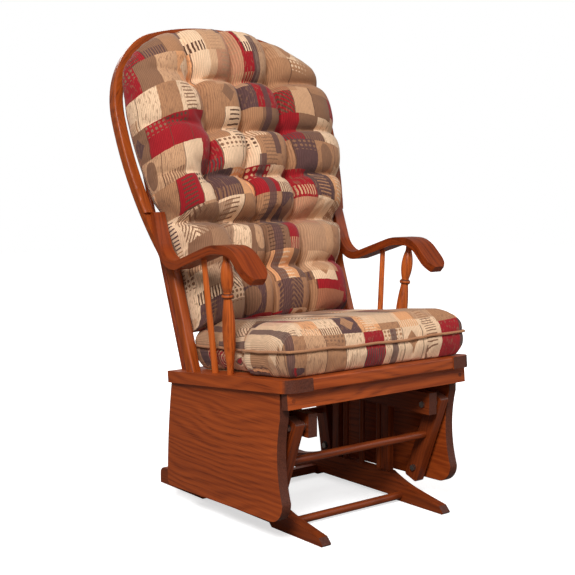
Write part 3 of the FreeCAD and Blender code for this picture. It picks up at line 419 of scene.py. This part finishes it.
def arm_axes(lean):
    return grain_axes((0.0, math.sin(lean), -math.cos(lean)), Y_AXIS)


# Where the bow's legs turn into its arch, and the arch's radius
BOW_SPRING = 0.52
BOW_RADIUS = 0.33


def bow_grain(points):
    """Grain that follows the bow: up its legs, then by the angle round the middle of its arch."""
    y, z = points[:, 1] - BOW_FOOT[1], points[:, 2] - BOW_FOOT[2]
    s = y * math.sin(BOW_LEAN) + z * math.cos(BOW_LEAN)
    t = z * math.sin(BOW_LEAN) - y * math.cos(BOW_LEAN)
    rise = np.maximum(s - BOW_SPRING, 0.0)
    around = np.arctan2(rise, np.abs(points[:, 0])) * BOW_RADIUS
    along = np.sign(points[:, 0]) * (np.minimum(s, BOW_SPRING) + around)
    reach = np.hypot(points[:, 0], rise)
    return np.stack([along, reach, t], axis=-1)


def side_line(start, heading, steps_taken):
    """A bent line in side view: pieces of (length, turn in degrees), as points (forward, up)."""
    place, way = np.array(start), math.radians(heading)
    line = [place]
    for length, turn in steps_taken:
        count = 12 if turn else 1
        for _ in range(count):
            way += math.radians(turn) / count / 2
            place = place + np.array([math.cos(way), math.sin(way)]) * length / count
            way += math.radians(turn) / count / 2
            line.append(place)
    return np.array(line)


# The armrest's bent middle line, from its top on the bow to its tip
ARMREST_TOP = (-0.166, 0.724)
ARMREST_HEADING = -70.4
ARMREST_STEPS = [(0.084, 0.0), (0.107, 87.4), (0.128, 0.0), (0.0475, -17.0),
                 (0.021, 0.0), (0.0553, -44.0), (0.09, 0.0)]
ARMREST_LINE = side_line(ARMREST_TOP, ARMREST_HEADING, ARMREST_STEPS)


def armrest_grain(points):
    """Grain that follows the bent armrest: length along its middle line, then across and through it."""
    flat = np.stack([-points[:, 1], points[:, 2]], axis=-1)
    along = np.zeros(len(points))
    through = np.full(len(points), 9.0)
    length = 0.0
    for start, end in zip(ARMREST_LINE, ARMREST_LINE[1:]):
        way = end - start
        size = np.linalg.norm(way)
        way = way / size
        share = np.clip((flat - start) @ way, 0.0, size)
        away = flat - start - share[:, None] * way
        far = np.linalg.norm(away, axis=1)
        nearer = far < np.abs(through)
        side = away @ np.array([-way[1], way[0]])
        through[nearer] = np.where(side < 0.0, -far, far)[nearer]
        along[nearer] = (length + share)[nearer]
        length += size
    return np.stack([along, points[:, 0], through], axis=-1)


# The armrest's tip: its slope, where it ends, the length over which it rounds off and its half width
TIP_SLOPE = math.radians(44.0)
TIP_END = (-0.245, 0.587)
TIP_ROUND = 0.040
TIP_X = 0.280
TIP_HALF_WIDTH = 0.032
TIP_NARROWING = 0.72
TIP_CUTS = (0.12, 0.28, 0.44, 0.6, 0.76, 0.92)


def round_tip(form):
    """Rounds the armrest's end square to its surface, like the end of a tongue."""
    way = Vector((0.0, -math.cos(TIP_SLOPE), -math.sin(TIP_SLOPE)))
    end = Vector((0.0, *TIP_END))
    for share in TIP_CUTS:
        geometry = form.verts[:] + form.edges[:] + form.faces[:]
        cut = end - way * TIP_ROUND * share
        bmesh.ops.bisect_plane(form, geom=geometry, plane_co=cut, plane_no=way, dist=1e-5)
    for vert in form.verts:
        left = (end - vert.co).dot(way)
        if left < TIP_ROUND and vert.co.y < TIP_END[0] + TIP_ROUND:
            middle = math.copysign(TIP_X, vert.co.x)
            share = 1.0 - max(left, 0.0) / TIP_ROUND
            limit = TIP_HALF_WIDTH * math.sqrt(1.0 - TIP_NARROWING * share * share)
            away = vert.co.x - middle
            vert.co.x = middle + max(-limit, min(limit, away))


for word in ("left", "right"):
    wooden(f"{word}_panel", "seat", OAK_PANEL, ALONG_Y, 0.004)
    wooden(f"{word}_deck_board", "seat", OAK_PANEL, ALONG_Y_FLAT, 0.005)
    wooden(f"{word}_panel_cleat", "seat", OAK_BASE, ALONG_Y)
    wooden(f"{word}_armrest", "seat", OAK_BENT, ALONG_Y, 0.0065, 4, armrest_grain, round_tip)
    wooden(f"{word}_arm_post", "seat", OAK_TURNED, ALONG_Z, 0.0)
    wooden(f"{word}_arm_spindle", "seat", OAK_TURNED, ALONG_Z, 0.0)
    wooden(f"{word}_runner", "base", OAK_BASE, ALONG_Y, 0.003)
    wooden(f"{word}_base_rail", "base", OAK_BASE, ALONG_Y, 0.0025)
    wooden(f"{word}_base_spindles", "base", OAK_BASE, ALONG_Z, 0.0)
    for end, lean in (("front", FRONT_ARM_LEAN), ("rear", -REAR_ARM_LEAN)):
        wooden(f"{word}_{end}_upright", "base", OAK_BASE, ALONG_Z, 0.002)
        wooden(f"{word}_{end}_arm", f"{end}_arms", OAK_BASE, arm_axes(lean), 0.0025)
for end in ("front", "rear"):
    wooden(f"{end}_deck_board", "seat", OAK_PANEL, ALONG_X, 0.005)
    wooden(f"{end}_floor_stretcher", "base", OAK_BASE, ALONG_X, 0.0015)
    wooden(f"{end}_arm_dowel", f"{end}_arms", OAK_BASE, ALONG_X, 0.0)
wooden("front_apron", "seat", OAK_PANEL, ALONG_X, 0.0025)
wooden("apron_plugs", "seat", OAK_BASE, ALONG_Z, 0.0006, 2)
wooden("seat_cleats", "seat", OAK_BASE, ALONG_Y)
wooden("bow", "seat", OAK_BOW, ALONG_Z, 0.0, 1, bow_grain)
wooden("back_spindles", "seat", OAK_BENT, ALONG_BOW, 0.0)

# Nodes that are shown as they are, by material
PLAIN_NODES = (
    (STEEL, ("upper_pivot_bolts", "upper_pivot_nuts", "upper_pivot_spacers")),
    (STEEL, ("lower_pivot_bolts", "lower_pivot_spacers")),
    (BRASS, ("lower_pivot_inserts",)),
    (NYLON, ("front_arm_bushes", "rear_arm_bushes", "rear_arm_lower_bushes")),
    (PLYWOOD, ("seat_board",)),
)
for material, names in PLAIN_NODES:
    for node in names:
        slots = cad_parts[node].data.materials
        slots.clear()
        slots.append(material)


# Padding: a closed cover swells under pressure and is then fixed

def swell(piece, pins, pressure, cap, slack, frames=20):
    """Runs the cover as cloth with air in it. pins holds points back, cap is the furthest a point may go."""
    start = co_array(piece.data)
    holders = piece.vertex_groups.new(name="held")
    for index in np.nonzero(pins > 0.0)[0]:
        holders.add([int(index)], float(pins[index]), "REPLACE")
    cloth = piece.modifiers.new("cover", "CLOTH")
    settings = cloth.settings
    settings.quality = 5
    settings.mass = 0.3
    settings.tension_stiffness = 12.0
    settings.compression_stiffness = 6.0
    settings.shear_stiffness = 3.0
    settings.bending_stiffness = 0.4
    settings.use_pressure = True
    settings.uniform_pressure_force = pressure
    settings.shrink_min = -slack
    settings.vertex_group_mass = holders.name
    settings.effector_weights.gravity = 0.0
    cloth.collision_settings.use_collision = False
    cloth.collision_settings.use_self_collision = False
    cloth.point_cache.frame_end = frames
    scene = bpy.context.scene
    for step in range(1, frames + 1):
        scene.frame_set(step)
    graph = bpy.context.evaluated_depsgraph_get()
    moved = co_array(piece.evaluated_get(graph).to_mesh())
    piece.evaluated_get(graph).to_mesh_clear()
    way = moved - start
    far = np.linalg.norm(way, axis=1, keepdims=True)
    way *= np.minimum(1.0, cap / np.maximum(far, 1e-9))
    piece.modifiers.remove(cloth)
    piece.vertex_groups.remove(holders)
    piece.data.vertices.foreach_set("co", (start + way).ravel())
    scene.frame_set(1)


# Back cushion: outline and tufts on the plane of the bow, in mm

PAD_LEFT = [(-245, 96), (-248, 145), (-249, 196), (-250, 242), (-255, 299), (-265, 335), (-270, 362),
            (-265, 376), (-273, 399), (-292, 428), (-299, 459), (-307, 495), (-314, 531), (-320, 573),
            (-324, 614), (-327, 651), (-328, 693), (-326, 730), (-320, 757), (-304, 784)]
PAD_RIGHT = [(230, 108), (236, 170), (238, 235), (248, 290), (266, 345), (279, 400), (291, 452), (301, 501),
             (307, 560), (309, 604), (309, 640), (306, 680), (297, 730), (282, 772), (262, 798)]
PAD_OVER = [(-304, 784), (-278, 812), (-249, 836), (-206, 857), (-150, 873), (-100, 881), (-40, 887),
            (0, 888), (50, 884), (100, 874), (150, 857), (200, 833), (240, 812), (262, 798)]
PAD_UNDER = [PAD_LEFT[0], (-200, 98), (0, 100), PAD_RIGHT[0]]
PAD_COLUMNS, PAD_LINES = 97, 121
PAD_CREST = 907.0

# Tufts in rows, each at its height, and how hard they and the creases between them pull
TUFT_ROWS = [(238, (-112, -22, 92)), (362, (-138, -20, 96)), (478, (-152, -36, 104)),
             (602, (-118, -14, 112)), (734, (-146, -17, 98))]
TUFT_WIDTH = 27.0
TUFT_DEPTH = 0.80
FOLD_ROW = 362
FOLD_PULLS, FOLD_WIDTH = (0.9, 0.97, 0.97, 0.93), 20.0
CREASE_PULLS, CREASE_WIDTH = (0.2, 0.66, 0.66, 0.55), 17.0
COLUMN_PULL = 0.6
CREASE_REACH = 330
COLUMN_ENDS = (90, 915)

# The pad's thickness: its rim and its loft over the rim, the width of its rolled edge, and its flat back
PAD_RIM, PAD_RIM_TAPER = 27.0, 0.03
PAD_LOFT = 91.0
PAD_CLOTH_LOFT = 72.0
PAD_ROLL = 88.0
BACK_FACE, BACK_TAPER, BACK_GAP = 19.0, 0.04, 1.0
BACK_SHARE = 0.985

# The bow's inner edge that the pad's back keeps within: height along the bow and half width
INNER_EDGE = [(235, 248), (300, 258), (362, 280), (428, 297), (500, 309), (573, 317),
              (650, 320), (734, 306), (800, 280)]


def along_line(points, count):
    """Points at even steps along a broken line, smoothed a little."""
    line = np.array(points, dtype=float)
    steps_taken = np.concatenate([[0.0], np.cumsum(np.linalg.norm(np.diff(line, axis=0), axis=1))])
    places = np.linspace(0.0, steps_taken[-1], count)
    even = np.stack([np.interp(places, steps_taken, line[:, axis]) for axis in (0, 1)], axis=-1)
    for _ in range(3):
        even[1:-1] = 0.25 * even[:-2] + 0.5 * even[1:-1] + 0.25 * even[2:]
    return even


def pad_flat():
    """The cushion's flat grid, rows from the seat up, stretched between its four edges."""
    low = along_line(PAD_UNDER, PAD_COLUMNS)
    high = along_line(PAD_OVER, PAD_COLUMNS)
    left = along_line(PAD_LEFT, PAD_LINES)
    right = along_line(PAD_RIGHT, PAD_LINES)
    u = np.linspace(0.0, 1.0, PAD_COLUMNS)[None, :, None]
    v = np.linspace(0.0, 1.0, PAD_LINES)[:, None, None]
    ruled = (1 - v) * low[None] + v * high[None] + (1 - u) * left[:, None] + u * right[:, None]
    corners = (1 - u) * (1 - v) * low[0] + u * (1 - v) * low[-1] + (1 - u) * v * high[0] + u * v * high[-1]
    return ruled - corners


def segment_distance(points, start, end):
    start, end = np.array(start, dtype=float), np.array(end, dtype=float)
    way = end - start
    share = np.clip(((points - start) @ way) / way.dot(way), 0.0, 1.0)
    return np.linalg.norm(points - start - share[..., None] * way, axis=-1)


def pad_dips(flat):
    """How far each point is drawn in, from 0 to 1, by the tufts and the creases between them."""
    total = np.zeros(flat.shape[:2])

    def dip(strength, distance, width, power):
        return (strength * np.exp(-(distance / width) ** power)) ** 4

    for rise, places in TUFT_ROWS:
        pulls, width = (FOLD_PULLS, FOLD_WIDTH) if rise == FOLD_ROW else (CREASE_PULLS, CREASE_WIDTH)
        knots = [(-CREASE_REACH, rise + 6)] + [(x, rise) for x in places] + [(CREASE_REACH, rise + 4)]
        for start, end, pull in zip(knots, knots[1:], pulls):
            total += dip(pull, segment_distance(flat, start, end), width, 1.3)
        for x in places:
            total += dip(1.0, np.linalg.norm(flat - np.array([x, rise]), axis=-1), TUFT_WIDTH, 1.1)
    for column in range(3):
        knots = [(TUFT_ROWS[0][1][column] * 1.02, COLUMN_ENDS[0])]
        knots += [(places[column], rise) for rise, places in TUFT_ROWS]
        knots += [(TUFT_ROWS[-1][1][column] * 1.08, COLUMN_ENDS[1])]
        for start, end in zip(knots, knots[1:]):
            total += dip(COLUMN_PULL, segment_distance(flat, start, end), CREASE_WIDTH, 1.3)
    return np.minimum(total ** 0.25, 1.0)


def edge_distance(flat):
    """Distance in mm from each grid point to the cushion's outline."""
    rim = np.concatenate([flat[0], flat[:, -1], flat[-1], flat[:, 0]])
    points = flat.reshape(-1, 2)
    nearest = np.min(np.linalg.norm(points[:, None] - rim[None], axis=-1), axis=1)
    return nearest.reshape(flat.shape[:2])


def lengths_along(grid, axis):
    """Length over the surface along one way of a grid, counted from the middle, in metres."""
    steps_taken = np.linalg.norm(np.diff(grid, axis=axis), axis=-1)
    total = np.insert(np.cumsum(steps_taken, axis=axis), 0, 0.0, axis=axis)
    middle = np.take(total, [total.shape[axis] // 2], axis=axis)
    return total - middle


def make_back_cushion():
    """The tufted pad: a front grid with its puffs, a flat back and a band that joins them."""
    flat = pad_flat()
    x, s = flat[..., 0], flat[..., 1]
    rim = PAD_RIM - PAD_RIM_TAPER * (PAD_CREST - s)
    reach = np.clip(edge_distance(flat) / PAD_ROLL, 0.0, 1.0)
    rise = np.sqrt(np.maximum(1.0 - (1.0 - reach) ** 2, 0.0))
    dips = pad_dips(flat)
    front_t = rim + PAD_LOFT * rise * (1.0 - TUFT_DEPTH * dips)
    back_t = BACK_FACE - BACK_TAPER * (PAD_CREST - s) + BACK_GAP
    front = bow_points(x, s, front_t)
    inner = np.interp(s, *zip(*INNER_EDGE))
    back = bow_points(np.clip(x * BACK_SHARE, -inner, inner), s, back_t)
    count = PAD_COLUMNS * PAD_LINES
    order = np.arange(count).reshape(PAD_LINES, PAD_COLUMNS)
    faces = []
    for row in range(PAD_LINES - 1):
        for column in range(PAD_COLUMNS - 1):
            a, b = order[row, column], order[row, column + 1]
            c, d = order[row + 1, column + 1], order[row + 1, column]
            faces.append((a, b, c, d))
            faces.append((d + count, c + count, b + count, a + count))
    loop = np.concatenate([order[0, :-1], order[:-1, -1], order[-1, :0:-1], order[:0:-1, 0]])
    for here, there in zip(loop, np.roll(loop, -1)):
        faces.append((there, here, here + count, there + count))
    mesh = bpy.data.meshes.new("back_cushion_cover")
    points = np.concatenate([front.reshape(-1, 3), back.reshape(-1, 3)])
    mesh.from_pydata(points.tolist(), [], [tuple(map(int, face)) for face in faces])
    even = bow_points(x, s, rim + PAD_CLOTH_LOFT * rise)
    across, up = lengths_along(even, 1), lengths_along(even, 0) + 0.3
    laid = np.stack([across, up, np.zeros_like(up)], axis=-1).reshape(-1, 3)
    behind = np.stack([x * MM + 3.0, s * MM, np.zeros_like(s)], axis=-1).reshape(-1, 3)
    add_vectors(mesh, "cloth", np.concatenate([laid, behind]))
    mesh.shade_smooth()
    piece = show(mesh, "back_cushion_cover", CLOTH)
    held = np.zeros(2 * count)
    held[:count] = np.clip((dips.ravel() - 0.72) / 0.2, 0.0, 1.0)
    held[count:] = 1.0
    held[loop] = 1.0
    swell(piece, held, 4.0, 0.013, 0.05)
    smooth = piece.modifiers.new("fine", "SUBSURF")
    smooth.levels = smooth.render_levels = 1
    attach(piece, "seat")
    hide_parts("back_cushion")


# Seat cushion: the node's form, remeshed and swollen, with a welt cord round it

CUSHION_OUTLINE = [(-275, 6), (275, 6), (275, 180), (243, 206),
                   (236, 440), (-236, 440), (-243, 206), (-275, 180)]
CUSHION_CORNER = 46.0
CUSHION_MIDDLE = 200.0
CUSHION_TOP = 112.0

# Where the cloth turns down, in mm: the place and the width of each turn
FRONT_TURN = (95.0, 80.0)
REAR_TURN = (370.0, 60.0)
SIDE_TURN = (190.0, 60.0)

# The welt: its height over the deck in mm, and its points, its first line's scale, and sizes in metres
WELT_UP = 60.0
WELT_POINTS = 260
WELT_CAST = 1.12
WELT_OUT = 0.0012
WELT_RADIUS = 0.0034
SEAM_DEPTH = 0.005
SEAM_WIDTH = 0.010


def rounded_outline(corners, radius, count):
    """Even points round an outline whose corners are cut to a radius."""
    points = []
    size = len(corners)
    for index, corner in enumerate(corners):
        here = np.array(corner, dtype=float)
        before = np.array(corners[index - 1], dtype=float) - here
        after = np.array(corners[(index + 1) % size], dtype=float) - here
        reach = min(radius, 0.45 * np.linalg.norm(before), 0.45 * np.linalg.norm(after))
        start = here + before / np.linalg.norm(before) * reach
        end = here + after / np.linalg.norm(after) * reach
        for share in np.linspace(0.0, 1.0, 9):
            points.append((1 - share) ** 2 * start + 2 * share * (1 - share) * here + share ** 2 * end)
    points.append(points[0])
    line = np.array(points)
    steps_taken = np.concatenate([[0.0], np.cumsum(np.linalg.norm(np.diff(line, axis=0), axis=1))])
    places = np.linspace(0.0, steps_taken[-1], count, endpoint=False)
    return np.stack([np.interp(places, steps_taken, line[:, axis]) for axis in (0, 1)], axis=-1)


def seat_cloth(points):
    """Cloth coordinates over the seat cushion: flat on top and turned down over its edges."""
    x, along, up = off_deck(points)
    drop = np.maximum(CUSHION_TOP - up, 0.0)
    front = np.clip((FRONT_TURN[0] - along) / FRONT_TURN[1], 0.0, 1.0)
    rear = np.clip((along - REAR_TURN[0]) / REAR_TURN[1], 0.0, 1.0)
    side = np.clip((np.abs(x) - SIDE_TURN[0]) / SIDE_TURN[1], 0.0, 1.0) * (1.0 - front)
    u = x + np.sign(x) * side * drop
    v = along - front * drop + rear * drop
    return np.stack([u * MM + 7.0, v * MM, np.zeros_like(u)], axis=-1)


def make_seat_cushion():
    """The seat's pad, drawn in along its seam, and the welt in that seam."""
    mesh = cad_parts["seat_cushion"].data.copy()
    piece = show(mesh, "seat_cushion_cover", CLOTH)
    remesh = piece.modifiers.new("even", "REMESH")
    remesh.mode = "VOXEL"
    remesh.voxel_size = 0.006
    soften = piece.modifiers.new("soft", "SMOOTH")
    soften.factor = 0.5
    soften.iterations = 10
    graph = bpy.context.evaluated_depsgraph_get()
    even = bpy.data.meshes.new_from_object(piece.evaluated_get(graph))
    piece.modifiers.clear()
    piece.data = even
    even.materials.clear()
    even.materials.append(CLOTH)
    outline = rounded_outline(CUSHION_OUTLINE, CUSHION_CORNER, WELT_POINTS)
    points = co_array(even)
    up = off_deck(points)[2]
    held = np.clip((6.0 - up) / 4.0, 0.0, 1.0)
    swell(piece, held, 2.0, 0.005, 0.01)
    points = co_array(even)
    cover = BVHTree.FromObject(piece, bpy.context.evaluated_depsgraph_get())
    across = outline[:, 0] * WELT_CAST
    along = (outline[:, 1] - CUSHION_MIDDLE) * WELT_CAST + CUSHION_MIDDLE
    line = deck_points(across, along, np.full(len(outline), WELT_UP))
    centre = deck_points(np.array([0.0]), np.array([CUSHION_MIDDLE]), np.array([WELT_UP]))[0]
    welt = []
    for point in line:
        spot = cover.find_nearest(Vector(point))[0]
        out = Vector(point) - Vector(centre)
        welt.append(np.array(spot + out.normalized() * WELT_OUT))
    welt = np.array(welt)
    for _ in range(4):
        welt = 0.25 * np.roll(welt, 1, axis=0) + 0.5 * welt + 0.25 * np.roll(welt, -1, axis=0)
    gaps = np.min(np.linalg.norm(points[:, None] - welt[None], axis=-1), axis=1)
    inward = np.array(centre)[None] - points
    inward[:, 2] = 0.0
    inward /= np.maximum(np.linalg.norm(inward, axis=1, keepdims=True), 1e-9)
    points = points + inward * (SEAM_DEPTH * np.exp(-(gaps / SEAM_WIDTH) ** 1.5))[:, None]
    even.vertices.foreach_set("co", points.ravel())
    add_vectors(even, "cloth", seat_cloth(points))
    even.shade_smooth()
    smooth = piece.modifiers.new("fine", "SUBSURF")
    smooth.levels = smooth.render_levels = 1
    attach(piece, "seat")
    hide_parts("seat_cushion")
    make_welt("seat_cushion_welt", welt, WELT_RADIUS)


def make_welt(name, path, radius, sides=8):
    """A sewn cord round a closed path."""
    size = len(path)
    tangents = np.roll(path, -1, axis=0) - np.roll(path, 1, axis=0)
    tangents /= np.linalg.norm(tangents, axis=1, keepdims=True)
    upward = np.array([0.0, 0.0, 1.0])
    outward = np.cross(tangents, upward)
    outward /= np.linalg.norm(outward, axis=1, keepdims=True)
    raised = np.cross(outward, tangents)
    rings = []
    for turn in np.linspace(0.0, 2 * math.pi, sides, endpoint=False):
        rings.append(path + (outward * math.cos(turn) + raised * math.sin(turn)) * radius)
    points = np.stack(rings, axis=1).reshape(-1, 3)
    faces = []
    for step in range(size):
        ahead = (step + 1) % size
        for side in range(sides):
            following = (side + 1) % sides
            faces.append((step * sides + side, ahead * sides + side, ahead * sides + following,
                          step * sides + following))
    mesh = bpy.data.meshes.new(name)
    mesh.from_pydata(points.tolist(), [], faces)
    along = np.concatenate([[0.0], np.cumsum(np.linalg.norm(np.diff(path, axis=0), axis=1))])
    laid = np.zeros((len(points), 3))
    laid[:, 0] = np.repeat(along, sides) + 2.0
    laid[:, 1] = np.tile(np.arange(sides), size) * 0.003
    add_vectors(mesh, "cloth", laid)
    mesh.shade_smooth()
    piece = show(mesh, name, CORD)
    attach(piece, "seat")


make_back_cushion()
make_seat_cushion()


# Stage, light and camera

FLOOR_HALF = 9.0


def make_floor():
    """A pale floor: white to the camera away from the chair, darker to everything it lights."""
    mesh = bpy.data.meshes.new("floor")
    signs = ((-1, -1), (1, -1), (1, 1), (-1, 1))
    corners = [(x * FLOOR_HALF, y * FLOOR_HALF, 0.0) for x, y in signs]
    mesh.from_pydata(corners, [], [(0, 1, 2, 3)])
    s = Shader("pale_floor")
    where = s.scaled(s.add("TexCoord").outputs["Object"], (1.0, 1.0, 0.0))
    away = s.add("VectorMath", {0: where}, operation="LENGTH").outputs["Value"]
    fade = {"Value": away, "From Min": 0.5, "From Max": 1.6, "To Min": 0.62, "To Max": 1.0}
    strength = s.add("MapRange", fade)
    glow = s.add("Emission", {"Color": (1.0, 1.0, 1.0, 1.0), "Strength": strength.outputs[0]})
    seen = s.add("LightPath")
    mixed = s.add("MixShader")
    s.surface.inputs["Base Color"].default_value = (0.8, 0.8, 0.8, 1.0)
    s.surface.inputs["Roughness"].default_value = 0.9
    s.surface.inputs["Specular IOR Level"].default_value = 0.0
    dim = s.add("BsdfDiffuse", {"Color": (0.20, 0.19, 0.18, 1.0)})
    both = s.add("AddShader")
    s.links.new(s.surface.outputs[0], both.inputs[0])
    s.links.new(glow.outputs[0], both.inputs[1])
    s.links.new(seen.outputs["Is Camera Ray"], mixed.inputs[0])
    s.links.new(dim.outputs[0], mixed.inputs[1])
    s.links.new(both.outputs[0], mixed.inputs[2])
    s.links.new(mixed.outputs[0], s.nodes["Material Output"].inputs[0])
    show(mesh, "floor", s.material)


def make_world():
    world = bpy.data.worlds.new("studio")
    bpy.context.scene.world = world
    world.use_nodes = True
    nodes, links = world.node_tree.nodes, world.node_tree.links
    lit = nodes["Background"]
    lit.inputs["Color"].default_value = (1.0, 0.98, 0.95, 1.0)
    lit.inputs["Strength"].default_value = 0.30
    seen = nodes.new("ShaderNodeBackground")
    seen.inputs["Color"].default_value = (1.0, 1.0, 1.0, 1.0)
    path = nodes.new("ShaderNodeLightPath")
    mixed = nodes.new("ShaderNodeMixShader")
    links.new(path.outputs["Is Camera Ray"], mixed.inputs[0])
    links.new(lit.outputs[0], mixed.inputs[1])
    links.new(seen.outputs[0], mixed.inputs[2])
    links.new(mixed.outputs[0], nodes["World Output"].inputs[0])


def make_lamp(name, place, aim, size, power):
    light = bpy.data.lights.new(name, "AREA")
    light.shape = "DISK"
    light.size = size
    light.energy = power
    lamp = bpy.data.objects.new(name, light)
    lamp.location = place
    lamp.rotation_euler = (Vector(aim) - Vector(place)).to_track_quat("-Z", "Y").to_euler()
    bpy.context.scene.collection.objects.link(lamp)


CAMERA_AIM = Vector((0.0, 0.023, 0.53093))
CAMERA_AWAY = Vector((-1.6966, -2.1479, 0.2709))
FOCAL_PIXELS = 1084.93
FRAME_PIXELS = 575.0
CAMERA_SHIFT = 0.0037


def make_camera():
    lens = bpy.data.cameras.new("camera")
    lens.sensor_width = 36.0
    lens.lens = FOCAL_PIXELS / FRAME_PIXELS * lens.sensor_width
    lens.shift_x = CAMERA_SHIFT
    eye = bpy.data.objects.new("camera", lens)
    eye.location = CAMERA_AIM + CAMERA_AWAY
    eye.rotation_euler = (-CAMERA_AWAY).to_track_quat("-Z", "Y").to_euler()
    bpy.context.scene.collection.objects.link(eye)
    bpy.context.scene.camera = eye


make_floor()
make_world()
make_lamp("key", (-2.6, -2.4, 3.0), (0.0, 0.0, 0.5), 1.6, 175.0)
make_lamp("fill", (2.6, -2.6, 1.8), (0.0, 0.0, 0.5), 2.2, 30.0)
make_lamp("rim", (0.6, 2.8, 2.6), (0.0, 0.0, 0.8), 1.6, 45.0)
make_camera()
bpy.context.scene.view_settings.view_transform = "Standard"
